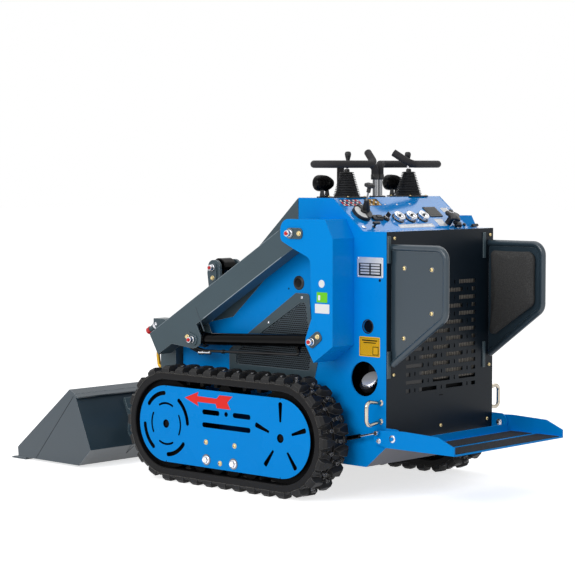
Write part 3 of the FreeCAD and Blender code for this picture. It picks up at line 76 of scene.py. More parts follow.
WALL_Y = edge_of("side_wall_left", 1, 1)
DECK_Z = edge_of("rear_panel", 1, 2)
CONSOLE_TOP = edge_of("console", 1, 2)
TOWER_Y = edge_of("tower_left", 1, 1)
ARM_Y = edge_of("lift_arm_left", 1, 1)
TRACK_INNER = edge_of("track_left", 0, 1)
TRACK_OUTER = edge_of("track_left", 1, 1)
TRACK_MIDDLE = (TRACK_INNER + TRACK_OUTER) / 2
TRACK_HALF = (TRACK_OUTER - TRACK_INNER) / 2
TIP_RADIUS = edge_of("track_left", 1, 2) / 2
HUB_REAR = edge_of("track_left", 0, 0) + TIP_RADIUS
HUB_FRONT = edge_of("track_left", 1, 0) - TIP_RADIUS
GUARD_Y = edge_of("track_guard_left", 1, 1)


# ---------------------------------------- materials
GLOSS_SPREAD = 0.06


def srgb(red, green, blue):
    """Linear colour from 0-255 values."""
    return tuple(((c / 255 + 0.055) / 1.055) ** 2.4 if c > 10 else c / 255 / 12.92
                 for c in (red, green, blue)) + (1.0,)


def scaled(colour, factor):
    return tuple(min(1.0, c * factor) for c in colour[:3]) + (1.0,)


def set_inputs(tree, node, inputs):
    """Give each input its value, or a link where it is given another node's output."""
    for name, value in inputs.items():
        if isinstance(value, bpy.types.NodeSocket):
            tree.links.new(value, node.inputs[name])
        else:
            node.inputs[name].default_value = value


def add_node(tree, kind, inputs={}, **settings):
    node = tree.nodes.new("ShaderNode" + kind)
    for name, value in settings.items():
        setattr(node, name, value)
    set_inputs(tree, node, inputs)
    return node


def mix_colours(tree, share, first, second):
    return add_node(tree, "Mix", {0: share, 6: first, 7: second}, data_type="RGBA").outputs[2]


def surface(name, colour, roughness, metallic=0.0, specular=0.5, coat=0.0, patch=0.08, patch_scale=7.0,
            grain=600.0, relief=0.05, depth=0.0003, rounding=0.0012, edge_highlight=None, highlight_strength=0.5):
    """Painted, cast, moulded or plated surface: broad colour patches, fine grain in gloss and relief,
    rounded-looking edges and, where an edge colour is given, a painted highlight of that colour along the
    edges."""
    material = bpy.data.materials.new(name)
    material.use_nodes = True
    tree = material.node_tree
    where = add_node(tree, "TexCoord").outputs["Object"]
    broad = add_node(tree, "TexNoise", {"Vector": where, "Scale": patch_scale, "Detail": 5.0}).outputs["Fac"]
    fine = add_node(tree, "TexNoise", {"Vector": where, "Scale": grain, "Detail": 2.0}).outputs["Fac"]
    paint = srgb(*colour)
    tint = mix_colours(tree, broad, scaled(paint, 1 - patch), scaled(paint, 1 + patch))
    gloss = add_node(tree, "MapRange", {"Value": broad, "To Min": max(0.02, roughness - GLOSS_SPREAD),
                                        "To Max": min(1.0, roughness + GLOSS_SPREAD)})
    edge = add_node(tree, "Bevel", {"Radius": rounding}, samples=4).outputs["Normal"]
    bump = add_node(tree, "Bump", {"Strength": relief, "Distance": depth, "Height": fine, "Normal": edge})
    # painted highlight: edges mixed towards the given colour where the bevelled normal turns from the face's
    # own, standing for light caught on rounded edges
    if edge_highlight:
        flat = add_node(tree, "NewGeometry").outputs["Normal"]
        turn = add_node(tree, "VectorMath", {0: edge, 1: flat}, operation="DOT_PRODUCT").outputs["Value"]
        highlight_share = add_node(tree, "MapRange", {"Value": turn, "From Min": 0.99, "From Max": 0.80, "To Max": highlight_strength})
        tint = mix_colours(tree, highlight_share.outputs["Result"], tint, srgb(*edge_highlight))
    set_inputs(tree, tree.nodes["Principled BSDF"], {
        "Base Color": tint, "Roughness": gloss.outputs["Result"], "Normal": bump.outputs["Normal"],
        "Metallic": metallic, "Specular IOR Level": specular, "Coat Weight": coat, "Coat Roughness": 0.06})
    return material


def sticker(name, colour, patch=0.03):
    return surface(name, colour, 0.45, specular=0.2, patch=patch)


def paint_shade_in_cuts(material):
    """Painted shade: near-black on the walls of an upright plate's cut-outs, which are the faces that don't
    look sideways.
    """
    tree = material.node_tree
    colour = tree.nodes["Principled BSDF"].inputs["Base Color"]
    flat = add_node(tree, "NewGeometry").outputs["Normal"]
    parts = add_node(tree, "SeparateXYZ", {"Vector": flat})
    sideways = add_node(tree, "Math", {0: parts.outputs["Y"]}, operation="ABSOLUTE").outputs["Value"]
    painted = mix_colours(tree, sideways, srgb(14, 20, 28), colour.links[0].from_socket)
    tree.links.new(painted, colour)


BLUE = (2, 138, 222)
SLATE = (64, 81, 89)
# The edge colours given below are painted highlights along the edges.
blue_paint = surface("blue_paint", BLUE, 0.28, specular=0.05, patch=0.04, edge_highlight=(80, 170, 235), highlight_strength=0.35)
blue_gloss = surface("blue_gloss", BLUE, 0.14, specular=0.3, coat=0.35, patch=0.04, relief=0.02)
# guard blue with painted shade darkening the walls of its slots
guard_blue_shaded_cuts = surface("guard_blue_shaded_cuts", BLUE, 0.28, specular=0.05, patch=0.04)
paint_shade_in_cuts(guard_blue_shaded_cuts)
slate_paint = surface("slate_paint", SLATE, 0.34, specular=0.28, patch=0.06, rounding=0.0022,
                      edge_highlight=(196, 206, 212), highlight_strength=0.75)
slate_gloss = surface("slate_gloss", (44, 60, 71), 0.34, specular=0.4, coat=0.42, patch=0.08, rounding=0.002,
                      edge_highlight=(190, 200, 206), highlight_strength=0.7)
dark_paint = surface("dark_paint", (16, 26, 35), 0.34, specular=0.15, patch=0.12, edge_highlight=(60, 70, 80))
mesh_wire = surface("mesh_wire", (66, 78, 86), 0.45, specular=0.3, patch=0.1, patch_scale=30)
belly_grey = surface("belly_grey", (112, 111, 116), 0.5, specular=0.2, patch=0.12, patch_scale=18)
rubber = surface("rubber", (18, 18, 20), 0.42, specular=0.14, patch=0.25, patch_scale=22, grain=260,
                 relief=0.3, depth=0.0006, rounding=0.0022, edge_highlight=(124, 118, 110), highlight_strength=0.8)
# lighter rubber for lug flanks, ribs and drive lugs: dust, and painted sheen standing for the light on the
# flanks
rubber_dust_and_sheen = surface("rubber_dust_and_sheen", (42, 42, 43), 0.5, specular=0.14, patch=0.45, patch_scale=34,
                       grain=300, relief=0.4, depth=0.0006, rounding=0.0022, edge_highlight=(146, 144, 140), highlight_strength=0.8)
rubber_stud = surface("rubber_stud", (70, 70, 72), 0.25, metallic=0.6, specular=0.6, patch=0.2,
                      rounding=0.0016, edge_highlight=(190, 190, 192), highlight_strength=0.9)
# body blue darkened as painted shade for the track frames, which sit in shadow behind the guards
painted_shade_blue = surface("painted_shade_blue", (2, 58, 110), 0.5, specular=0.05, patch=0.2)
chrome = surface("chrome", (228, 228, 232), 0.1, metallic=1.0, patch=0.04, relief=0.02, grain=900)
post_chrome = surface("post_chrome", (130, 132, 136), 0.12, metallic=1.0, patch=0.04, relief=0.02, grain=900)
zinc = surface("zinc", (208, 209, 214), 0.22, metallic=1.0, patch=0.1, patch_scale=60, relief=0.06)
brass = surface("brass", (222, 200, 146), 0.3, metallic=0.9, patch=0.2, patch_scale=80)
loop_steel = surface("loop_steel", (186, 178, 164), 0.12, metallic=1.0, patch=0.2, patch_scale=50)
steel = surface("steel", (120, 124, 130), 0.36, metallic=0.7, patch=0.12, patch_scale=30, relief=0.08)
iron = surface("iron", (10, 10, 11), 0.6, specular=0.06, patch=0.3, patch_scale=30, relief=0.4, grain=350)
black_gloss = surface("black_gloss", (4, 4, 5), 0.13, specular=0.1, patch=0.2, relief=0.015)
black_plastic = surface("black_plastic", (20, 20, 22), 0.42, specular=0.4, patch=0.15, grain=1400,
                        relief=0.12, edge_highlight=(56, 56, 60))
boot_rubber = surface("boot_rubber", (14, 14, 16), 0.42, specular=0.22, patch=0.15, grain=900, relief=0.1,
                      rounding=0.0016, edge_highlight=(112, 114, 118), highlight_strength=0.8)
bar_foam = surface("bar_foam", (40, 39, 41), 0.72, specular=0.25, patch=0.15, grain=1100, relief=0.5,
                   depth=0.0004)
pad_foam = surface("pad_foam", (67, 67, 67), 0.9, specular=0.12, patch=0.85, patch_scale=210, grain=700,
                   relief=0.8, depth=0.0009)
painted_edge_highlight = surface("painted_edge_highlight", (150, 162, 170), 0.35, specular=0.2, patch=0.1)
grip_strip = surface("grip_strip", (52, 54, 58), 0.85, specular=0.1, patch=0.2, patch_scale=90, grain=800,
                     relief=0.9, depth=0.001)
red_plastic = surface("red_plastic", (205, 14, 24), 0.3, specular=0.4, patch=0.06)
red_sticker = surface("red_sticker", (232, 46, 40), 0.4, specular=0.15, patch=0.03)
white_sticker = sticker("white_sticker", (232, 233, 234), 0.02)
green_sticker = sticker("green_sticker", (110, 205, 40))
yellow_sticker = sticker("yellow_sticker", (246, 190, 30))
navy_sticker = sticker("navy_sticker", (34, 50, 96))
ochre_sticker = sticker("ochre_sticker", (206, 150, 42), 0.05)
brown_sticker = sticker("brown_sticker", (92, 70, 34), 0.08)
dial_face = surface("dial_face", (96, 101, 108), 0.5, specular=0.05, patch=0.05)
plate_metal = surface("plate_metal", (214, 215, 218), 0.35, metallic=0.5, patch=0.12, patch_scale=40)
radiator_fin = surface("radiator_fin", (168, 162, 154), 0.5, specular=0.3, patch=0.25, patch_scale=40)
zinc_yellow = surface("zinc_yellow", (206, 160, 40), 0.35, metallic=0.6, patch=0.2, patch_scale=60)
# near-black for painted shade inside holes, slots, notches and sockets, and for printed marks and seams
black_shade_and_marks = surface("black_shade_and_marks", (10, 11, 13), 0.7, specular=0.1, patch=0.1)
glass_black = surface("glass_black", (12, 13, 15), 0.1, specular=0.12, patch=0.1, relief=0.0)

NODE_FINISH = {
    blue_paint: "side_wall_left side_wall_right front_nose tower_left tower_right platform_deck "
                "platform_brackets",
    guard_blue_shaded_cuts: "track_guard_left track_guard_right",
    blue_gloss: "console",
    painted_shade_blue: "track_frame_left track_frame_right",
    slate_paint: "hood mesh_panels lift_arm_left lift_arm_right arm_cross_box quick_coupler aux_couplers",
    slate_gloss: "bucket pad_frames",
    dark_paint: "rear_panel",
    belly_grey: "belly_pan",
    loop_steel: "tie_down_loops",
    iron: "sprocket_left sprocket_right idlers rollers engine_block",
    chrome: "lift_rod_left lift_rod_right tilt_rod strut_rod",
    steel: "frame_pins coupler_pins arm_pins",
    black_gloss: "lift_barrel_left lift_barrel_right tilt_barrel strut_barrel",
    black_plastic: "console_controls fuel_filler hip_pad_left hip_pad_right work_lights joysticks "
                   "lift_hose_left lift_hose_right",
    bar_foam: "grab_bar_left grab_bar_right",
    rubber: "track_left track_right",
    zinc_yellow: "aux_lines",
}


def finish_nodes():
    """Every CAD node that is shown gets its material."""
    for material, names in NODE_FINISH.items():
        for name in names.split():
            mesh = frame["nodes"][name].data
            mesh.materials.clear()
            mesh.materials.append(material)


# ---------------------------------------- places on the machine
def facing(place, normal, up=Z):
    """Matrix from millimetres on a face to the frame: local Z is the face's normal and local Y its up."""
    normal = normal.normalized()
    across = up.cross(normal).normalized()
    turn = Matrix((across, normal.cross(across), normal)).transposed().to_4x4()
    return Matrix.Translation(place) @ turn @ Matrix.Diagonal((MM, MM, MM, 1))


def side_plane(y, sign=1):
    """Plane parallel to XZ, y out from the middle: local X is X, local Y is Z, and local Z points out."""
    turn = Matrix(((1, 0, 0, 0), (0, 0, sign, 0), (0, 1, 0, 0), (0, 0, 0, 1)))
    return Matrix.Translation(spot(0, y * sign, 0)) @ turn @ Matrix.Scale(MM, 4)


def moved(place, x=0, y=0, z=0):
    """The same matrix, shifted by millimetres along its own axes."""
    return place @ Matrix.Translation((x, y, z))


def turned(place, degrees):
    """The same matrix, turned about its own Z."""
    return place @ Matrix.Rotation(math.radians(degrees), 4, "Z")


def out_from(x, y, z, sign=1):
    """Matrix at a place on a side face, with local Z pointing out from the middle."""
    return moved(side_plane(y, sign), x, z)


def rear_face(x, y, z):
    """Matrix on a face that looks backwards."""
    return facing(spot(x, y, z), -X)


def top_face(x, y, z):
    return facing(spot(x, y, z), Z, X)


# ---------------------------------------- outlines
def corner_arc(before, here, after, radius, limit):
    """Centre of the arc that rounds a corner and the way from it to the arc's two ends, taking no more than a
    share of either edge."""
    before, after = before - here, after - here
    turn = before.angle(after)
    reach = min(radius / math.tan(turn / 2), limit * before.length, limit * after.length)
    radius = reach * math.tan(turn / 2)
    start, end = before.normalized(), after.normalized()
    centre = here + (start + end).normalized() * (radius / math.sin(turn / 2))
    return centre, here + start * reach - centre, here + end * reach - centre


def rounded(points, steps=5):
    """Outline from (a, b) or (a, b, radius) corners, with arcs of a few points."""
    places = [Vector(point[:2]) for point in points]
    outline = []
    for index, (point, here) in enumerate(zip(points, places)):
        if len(point) < 3:
            outline.append(here)
            continue
        after = places[(index + 1) % len(places)]
        centre, first, last = corner_arc(places[index - 1], here, after, point[2], 0.49)
        sweep = first.angle_signed(last)
        for step in range(steps + 1):
            outline.append(centre + Matrix.Rotation(-sweep * step / steps, 2) @ first)
    return [(p.x, p.y) for p in outline]


def rectangle(width, height, radius=0.0, centre=(0, 0)):
    a, b = width / 2, height / 2
    corners = [(x + centre[0], y + centre[1]) for x, y in ((-a, -b), (a, -b), (a, b), (-a, b))]
    return rounded([(*corner, radius) for corner in corners]) if radius else corners


def circle(radius, sides=24, centre=(0, 0)):
    angles = [2 * math.pi / sides * k for k in range(sides)]
    return [(centre[0] + radius * math.cos(a), centre[1] + radius * math.sin(a)) for a in angles]


def strip(start, end, half):
    """Outline of a narrow strip along a line, half its width to each side."""
    start, end = Vector(start), Vector(end)
    run = (end - start).normalized()
    over = Vector((-run.y, run.x)) * half
    return [tuple(p) for p in (start - over, end - over, end + over, start + over)]


def next_pairs(outline):
    """Each point of a closed outline with the one after it."""
    return zip(outline, [*outline[1:], outline[0]])


def turned_clockwise(outline):
    return sum(a[0] * b[1] - b[0] * a[1] for a, b in next_pairs(outline)) < 0


def within(point, outline):
    """Whether a point lies inside an outline."""
    x, y = point
    inside = False
    for (ax, ay), (bx, by) in next_pairs(outline):
        if (ay > y) != (by > y) and x < ax + (y - ay) * (bx - ax) / (by - ay):
            inside = not inside
    return inside


def shrunk(outline, inset):
    """The outline moved inwards by an inset, corner by corner."""
    result = []
    corners = [Vector(point) for point in outline]
    for before, here, after in zip([corners[-1], *corners], corners, [*corners[1:], corners[0]]):
        into = (here - before).normalized()
        out = (after - here).normalized()
        normal = Vector((-into.y - out.y, into.x + out.x))
        if normal.length > 1e-6:
            normal.normalize()
            here = here + normal * (inset / max(0.35, normal.dot(Vector((-into.y, into.x)))))
        result.append(tuple(here))
    return result


def arc_route(points, bend, steps):
    """Points of a bent tube's centre line, from corner places in the frame."""
    route = [points[0]]
    for before, here, after in zip(points, points[1:], points[2:]):
        centre, first, last = corner_arc(before, here, after, bend * MM, 0.45)
        axis = first.cross(last).normalized()
        for step in range(steps + 1):
            route.append(centre + Matrix.Rotation(first.angle(last) * step / steps, 3, axis) @ first)
    return [*route, points[-1]]


# ---------------------------------------- mesh tools
def band_faces(rings, count, closed=False):
    """Faces between rings of points that follow one another, and from the last to the first where closed."""
    faces = []
    for ring in range(rings if closed else rings - 1):
        base, following = ring * count, (ring + 1) % rings * count
        for k in range(count):
            after = (k + 1) % count
            faces.append((base + k, base + after, following + after, following + k))
    return faces


def capped_faces(rings, count):
    """Faces of a closed shape: a cap on its first ring, the bands, and a cap on its last ring."""
    last = (rings - 1) * count
    return [tuple(reversed(range(count))), *band_faces(rings, count), tuple(range(last, last + count))]


class Piece:
    """A mesh under construction. Shapes are added one after another, each with its own material."""

    def __init__(self, name, slot, body="chassis"):
        self.name = name
        self.slot = slot
        self.body = body
        self.points = []
        self.faces = []
        self.finish_index = []
        self.finishes = []

    def add(self, points, faces, material, place=Matrix.Identity(4), cap=None):
        """Add a closed shape; cap is the material of its last face where that differs."""
        start = len(self.points)
        self.points += [place @ Vector(p) for p in points]
        for paint in (material, cap or material):
            if paint not in self.finishes:
                self.finishes.append(paint)
        for face in faces:
            self.faces.append([start + i for i in face])
            self.finish_index.append(self.finishes.index(material))
        self.finish_index[-1] = self.finishes.index(cap or material)

    def lathe(self, rings, material, place, sides=24, lobes=0, lobe_depth=0.0):
        """Turned shape about local Z from (radius, height) rings; lobes scallop it, as on a star knob."""
        points = []
        for radius, height in rings:
            for k in range(sides):
                angle = 2 * math.pi * k / sides
                r = radius * (1 + lobe_depth * math.cos(lobes * angle))
                points.append((r * math.cos(angle), r * math.sin(angle), height))
        self.add(points, capped_faces(len(rings), sides), material, place)

    def loft(self, levels, material, place, cap=None):
        """Closed shape through outlines of equal length, given as (outline, height) from low to high."""
        if turned_clockwise(levels[-1][0]):
            levels = [(outline[::-1], height) for outline, height in levels]
        points = [(x, y, height) for outline, height in levels for x, y in outline]
        self.add(points, capped_faces(len(levels), len(levels[0][0])), material, place, cap)

    def prism(self, outline, low, high, material, place, chamfer=0.0):
        """Plate with a local XY outline from low to high, with its top edge chamfered."""
        if turned_clockwise(outline):
            outline = outline[::-1]
        levels = [(outline, low), (outline, high - chamfer)]
        if chamfer:
            levels.append((shrunk(outline, chamfer), high))
        self.loft(levels, material, place)

    def plates(self, place, *rows):
        """Several plates on one face, each given by its outline, low, high and material."""
        for outline, low, high, material in rows:
            self.prism(outline, low, high, material, place)

    def frame_plate(self, outer, inner, low, high, material, place):
        """Plate with one opening; both outlines have the same number of points in the same order."""
        points = [(x, y, z) for outline, z in ((outer, low), (outer, high), (inner, high), (inner, low))
                  for x, y in outline]
        self.add(points, band_faces(4, len(outer), True), material, place)

    def ring(self, inner, outer, low, high, material, place, sides=40):
        """Flat ring about local Z."""
        upright = Matrix.Rotation(math.pi / 2, 4, "X")
        stations = [turned(place, 360 * k / sides) @ upright for k in range(sides)]
        section = [(inner, low, 0), (outer, low, 0), (outer, high, 0), (inner, high, 0)]
        self.sweep_loop(stations, section, material)

    def sweep_loop(self, stations, section, material):
        """Closed band: a section of local points carried round a loop of matrices."""
        points = [station @ Vector(point) for station in stations for point in section]
        self.add(points, band_faces(len(stations), len(section), True), material)

    def tube(self, route, radius, material, sides=16, wave=lambda share: 1.0):
        """Round tube along points in the frame; wave(share) scales its radius."""
        side = None
        points = []
        for index, here in enumerate(route):
            run = (route[min(index + 1, len(route) - 1)] - route[max(index - 1, 0)]).normalized()
            if side is None:
                side = run.orthogonal().normalized()
            side = (side - run * side.dot(run)).normalized()
            other = run.cross(side)
            r = radius * MM * wave(index / (len(route) - 1))
            for x, y in circle(r, sides):
                points.append(here + side * x + other * y)
        self.add(points, capped_faces(len(route), sides), material)

    def head(self, place, size, material, sides, *rings):
        """Turned shape from rings given in shares of its size."""
        self.lathe([(size * radius, size * height) for radius, height in rings], material, place, sides)

    def bolt(self, place, size, material, washer=True):
        """Hexagon head on a washer; size is the thread in mm."""
        if washer:
            self.head(place, size, material, 20, (1.15, 0), (1.15, 0.12), (1.05, 0.2))
            place = moved(place, z=size * 0.2)
        self.head(place, size, material, 6, (0.95, 0), (0.95, 0.5), (0.78, 0.66))

    def screw(self, place, size, material):
        """Low domed head with a hexagon socket, painted near-black as the shade inside it."""
        self.head(place, size, material, 20, (1, 0), (1, 0.25), (0.8, 0.62), (0.5, 0.75))
        self.prism(circle(size * 0.4, 6), size * 0.7, size * 0.77, black_shade_and_marks, place)

    def finish(self, bevel=0.0, smooth_deg=40):
        """Object from the shapes added so far, with its edges bevelled by a few tenths of a millimetre."""
        mesh = bpy.data.meshes.new(self.name)
        mesh.from_pydata(self.points, [], self.faces)
        for material in self.finishes:
            mesh.materials.append(material)
        mesh.polygons.foreach_set("material_index", self.finish_index)
        mesh.polygons.foreach_set("use_smooth", [True] * len(self.faces))
        outwards = bmesh.new()
        outwards.from_mesh(mesh)
        bmesh.ops.recalc_face_normals(outwards, faces=outwards.faces)
        outwards.to_mesh(mesh)
        outwards.free()
        mesh.set_sharp_from_angle(angle=math.radians(smooth_deg))
        obj = bpy.data.objects.new(self.name, mesh)
        bpy.context.scene.collection.objects.link(obj)
        if bevel:
            edges = obj.modifiers.new("edges", "BEVEL")
            edges.width = bevel * MM
            edges.segments = 2
            edges.limit_method = "ANGLE"
            edges.angle_limit = math.radians(40)
            edges.harden_normals = True
        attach(obj, self.body)
        return obj


# ---------------------------------------- tracks
LUG_HEIGHT = 33.5
LUG_PITCH = 83.0
BAND_THICKNESS = 23.0
BAND_SWELL = 8.0
BAND_RADIUS = TIP_RADIUS - LUG_HEIGHT
RUN = HUB_FRONT - HUB_REAR
HALF_LOOP = RUN + math.pi * BAND_RADIUS
LUG_COUNT = round(2 * HALF_LOOP / LUG_PITCH)
LUG_STEP = 2 * HALF_LOOP / LUG_COUNT
DRIVE_LUG_WIDTH = 52.0
DRIVE_LUG_HEIGHT = 22.0
RUN_STATIONS = 8
ARC_STATIONS = 30


def on_track(distance, sign):
    """Matrix on the band's outer face: local X along the band, Y across it towards its outer edge, Z out."""
    distance = distance % (2 * HALF_LOOP)
    if distance < RUN:
        hub, shift, angle = HUB_REAR, distance, math.pi / 2
    elif distance < HALF_LOOP:
        hub, shift, angle = HUB_FRONT, 0, math.pi / 2 - (distance - RUN) / BAND_RADIUS
    elif distance < HALF_LOOP + RUN:
        hub, shift, angle = HUB_FRONT, HALF_LOOP - distance, -math.pi / 2
    else:
        hub, shift, angle = HUB_REAR, 0, -math.pi / 2 - (distance - HALF_LOOP - RUN) / BAND_RADIUS
    out = Vector((math.cos(angle), 0, math.sin(angle)))
    along = Vector((math.sin(angle), 0, -math.cos(angle)))
    place = spot(hub + shift, TRACK_MIDDLE * sign, TIP_RADIUS) + out * BAND_RADIUS * MM
    turn = Matrix((along, Y * sign, out)).transposed().to_4x4()
    return Matrix.Translation(place) @ turn @ Matrix.Scale(MM, 4)


def track_stations():
    for half in range(2):
        for step in range(RUN_STATIONS):
            yield half * HALF_LOOP + RUN * step / RUN_STATIONS
        for step in range(ARC_STATIONS):
            yield half * HALF_LOOP + RUN + (HALF_LOOP - RUN) * step / ARC_STATIONS


def tread_lug(piece, place, side):
    """One block of the tread: wide at the band's edge, narrowing to a claw beside the middle groove."""
    half = TRACK_HALF
    foot = [(-24, half), (-23, 42), (-11, 8), (11, 8), (23, 42), (24, half)]
    shoulder = [(-20, half - 1), (-19, 44), (-8, 11), (8, 11), (19, 44), (20, half - 1)]
    crown = [(-16, half - 14), (-15, 46), (-6, 15), (6, 15), (15, 46), (16, half - 14)]
    levels = [(foot, BAND_SWELL - 3), (shoulder, BAND_SWELL + 14), (crown, LUG_HEIGHT)]
    levels = [([(x, y * side) for x, y in outline], height) for outline, height in levels]
    # flanks in the lighter rubber, partly painted sheen; the crown in the darker rubber
    piece.loft(levels, rubber_dust_and_sheen, place, cap=rubber)


def track(side, sign):
    """Endless rubber band with its tread, drive lugs and moulded edge."""
    piece = Piece("track_belt_" + side, "track_rubber")
    half, top, inner = TRACK_HALF, BAND_SWELL, -BAND_THICKNESS
    section = [(-half, -19), (-half, top - 4), (-half + 5, top), (-6, top), (-4, top - 7), (4, top - 7),
               (6, top), (half - 5, top), (half, top - 4), (half, -19), (half - 4, inner), (-half + 4, inner)]
    stations = [on_track(distance, sign) for distance in track_stations()]
    piece.sweep_loop(stations, [(0, across, out) for across, out in section], rubber)
    for lug in range(LUG_COUNT):
        middle = lug * LUG_STEP
        tread_lug(piece, on_track(middle, sign), 1)
        tread_lug(piece, on_track(middle + LUG_STEP / 2, sign), -1)
        for row, offset in ((1, 0.5), (-1, 0.0)):
            gap = moved(on_track(middle + LUG_STEP * offset, sign), z=top)
            piece.lathe([(9, -2), (9, 18), (8, 20), (5.5, 20), (5.5, 14), (2, 14)], rubber_stud,
                        moved(gap, y=row * 25), 12)
            edge = (0, row * (half - 9))
            rib = [(rectangle(30, 17, 0, edge), -2), (rectangle(22, 13, 0, edge), 6)]
            piece.loft(rib, rubber_dust_and_sheen, gap, rubber)
            piece.prism(rectangle(9, 26, 0, (0, row * 50)), -2, 4, rubber_dust_and_sheen, gap)
        piece.loft([(rectangle(16, DRIVE_LUG_WIDTH - 3), inner - DRIVE_LUG_HEIGHT),
                    (rectangle(27, DRIVE_LUG_WIDTH), inner + 1)],
                   rubber_dust_and_sheen, on_track(HALF_LOOP + RUN + middle, sign))
    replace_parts(piece.finish(0.8), "track_" + side)


ARROW = [(113, 365), (31, 395), (38, 377), (-76, 375), (-92, 391), (-168, 391), (-137, 364), (-155, 336),
         (-77, 336), (-70, 353), (38, 353), (31, 335)]
HUB_NOTCH_RADIUS = 159.0


def guard_details(side, sign):
    """Bolts, plain direction arrow and notches on the plate that covers the track's middle."""
    piece = Piece("guard_hardware_" + side, "blue_paint")
    face = side_plane(GUARD_Y, sign)
    piece.prism(ARROW, 0.0, 0.5, red_sticker, face)
    for x, z in ((-13, 189), (-179, 189), (-95, 108)):
        piece.lathe([(11, 0), (11, 1.6)], brass, moved(face, x, z), 20)
        piece.screw(moved(face, x, z, 1.2), 8.5, brass)
    for x, z in ((-16, 116), (-173, 114)):
        piece.lathe([(23, 0), (23, 2.6), (21, 3.4)], post_chrome, moved(face, x, z), 28)
        piece.bolt(moved(face, x, z, 2.6), 15, chrome)
    for hub in (HUB_REAR, HUB_FRONT):
        piece.lathe([(16, -6), (16, 4), (13, 8), (6, 9)], iron, moved(face, hub, TIP_RADIUS, -12), 24)
        for end in (1, -1):
            notch = moved(face, hub, TIP_RADIUS + end * HUB_NOTCH_RADIUS)
            # the notches are near-black patches, painted shade
            piece.prism(rectangle(3.2, 6), -0.4, 0.2, black_shade_and_marks, notch)
    piece.finish(0.5)


# ---------------------------------------- towers, arms and pins
ARM_PIVOT = joint_spot("arm_lift")
ARM_SLOPE = math.radians(31.2)
LIFT_EYE = (156.0, 600.0)
LIFT_BASE = (-545.0, 635.0)
TILT_BASE = (418.96, 879.9)
TILT_EYE = (664.0, 310.0)
TILT_PIN_Y = 68.0
PIN_HEAD = 9.0


def on_arm(along, above):
    """(x, z) at a distance along the arm from its pivot and above its centre line."""
    x = ARM_PIVOT[0] + along * math.cos(ARM_SLOPE) + above * math.sin(ARM_SLOPE)
    return x, ARM_PIVOT[1] - along * math.sin(ARM_SLOPE) + above * math.cos(ARM_SLOPE)


def pin_end(piece, pin, y, sign, reach, degrees, length):
    """Keeper plate on the end of a pin, with a bolt at its reach from the pin, a plated collar and a red cap
    over the grease nipple."""
    place = out_from(pin[0], y, pin[1], sign)
    plate = turned(place, degrees)
    piece.prism(rectangle(length, 44, 17, (reach - (length - 44) / 2 - 6, 0)), 0, 6, slate_paint, plate, 1.0)
    piece.bolt(moved(plate, reach, z=6), 9, brass)
    collar = moved(place, z=PIN_HEAD)
    piece.lathe([(15, 0), (15, 2), (13, 3), (13, 17), (12, 18.5), (8, 18.5)], zinc, collar, 28)
    piece.lathe([(8, 17), (8, 21), (6.8, 23.4), (3, 24)], red_plastic, collar, 20)


def pin_ends(side, sign):
    chassis = Piece("tower_pins_" + side, "grey_paint")
    pin_end(chassis, ARM_PIVOT, TOWER_Y, sign, 50, 180, 86)
    pin_end(chassis, LIFT_BASE, TOWER_Y, sign, 36, 143, 76)
    chassis.finish(0.5)
    arms = Piece("arm_pin_ends_" + side, "grey_paint", "lift_arms")
    pin_end(arms, LIFT_EYE, ARM_Y, sign, 30, 20, 72)
    arms.finish(0.5)


def tilt_pin_end():
    """Keepers and grease caps on the tilt cylinder's upper pin, and the barrel's eye round it."""
    piece = Piece("tilt_pin_end", "grey_paint", "lift_arms")
    for sign in (1, -1):
        pin_end(piece, TILT_BASE, TILT_PIN_Y, sign, 46, -90, 80)
    piece.finish(0.5)
    barrel = Piece("tilt_barrel_eye", "black_paint", "tilt_barrel")
    barrel.lathe([(17, -36), (38, -36), (41, -33), (41, 33), (38, 36), (17, 36)], black_gloss,
                 moved(side_plane(0), *TILT_BASE), 44)
    barrel.finish(0.5)


def tower_labels(side, sign):
    """Blank labels on the tower's outer plate."""
    piece = Piece("tower_labels_" + side, "blue_paint")
    piece.plates(side_plane(TOWER_Y, sign),
                 (circle(15.5, 32, (-591, 868)), 0, 0.4, white_sticker),
                 (rectangle(57, 41, 3, (-593, 814)), 0, 0.4, green_sticker),
                 (rectangle(12, 20, 2, (-578, 812)), 0.35, 0.55, white_sticker),
                 (rectangle(76, 37, 3, (-594, 769)), 0, 0.4, white_sticker))
    piece.finish()


def arm_details(side, sign):
    """Edge line of the stiffening plate and painted highlights along the top and bottom edges of the arm's
    side plate.
    """
    piece = Piece("arm_trim_" + side, "grey_paint", "lift_arms")
    face = side_plane(ARM_Y, sign)
    piece.prism(strip((141, 737), (88, 639), 2.4), -1, 1.0, mesh_wire, face)
    # pale strips along the arm's edges: painted highlights
    for above, first, last, width in ((49.4, 70, 950, 1.6), (-49.2, 110, 636, 3.2)):
        edge = strip(on_arm(first, above), on_arm(last, above), width / 2)
        piece.prism(edge, -0.5, 0.5, painted_edge_highlight, face)
    piece.finish(0.2)


# ---------------------------------------- side walls and fuel filler
WALL_SLOT = rounded([(-352, 992, 6), (-300, 979, 8), (-240, 941, 5), (-243, 930, 5), (-275, 935, 6),
                     (-337, 971, 8)])
DATA_PLATE = (-733, 933)
LABEL = (-731, 618)
LABEL_SIGN = (-762, 603)
FILLER_X, FILLER_Z = -703.0, 488.0
FILLER_TILT = math.radians(48)
FILLER_CAP_RADIUS = 39.0


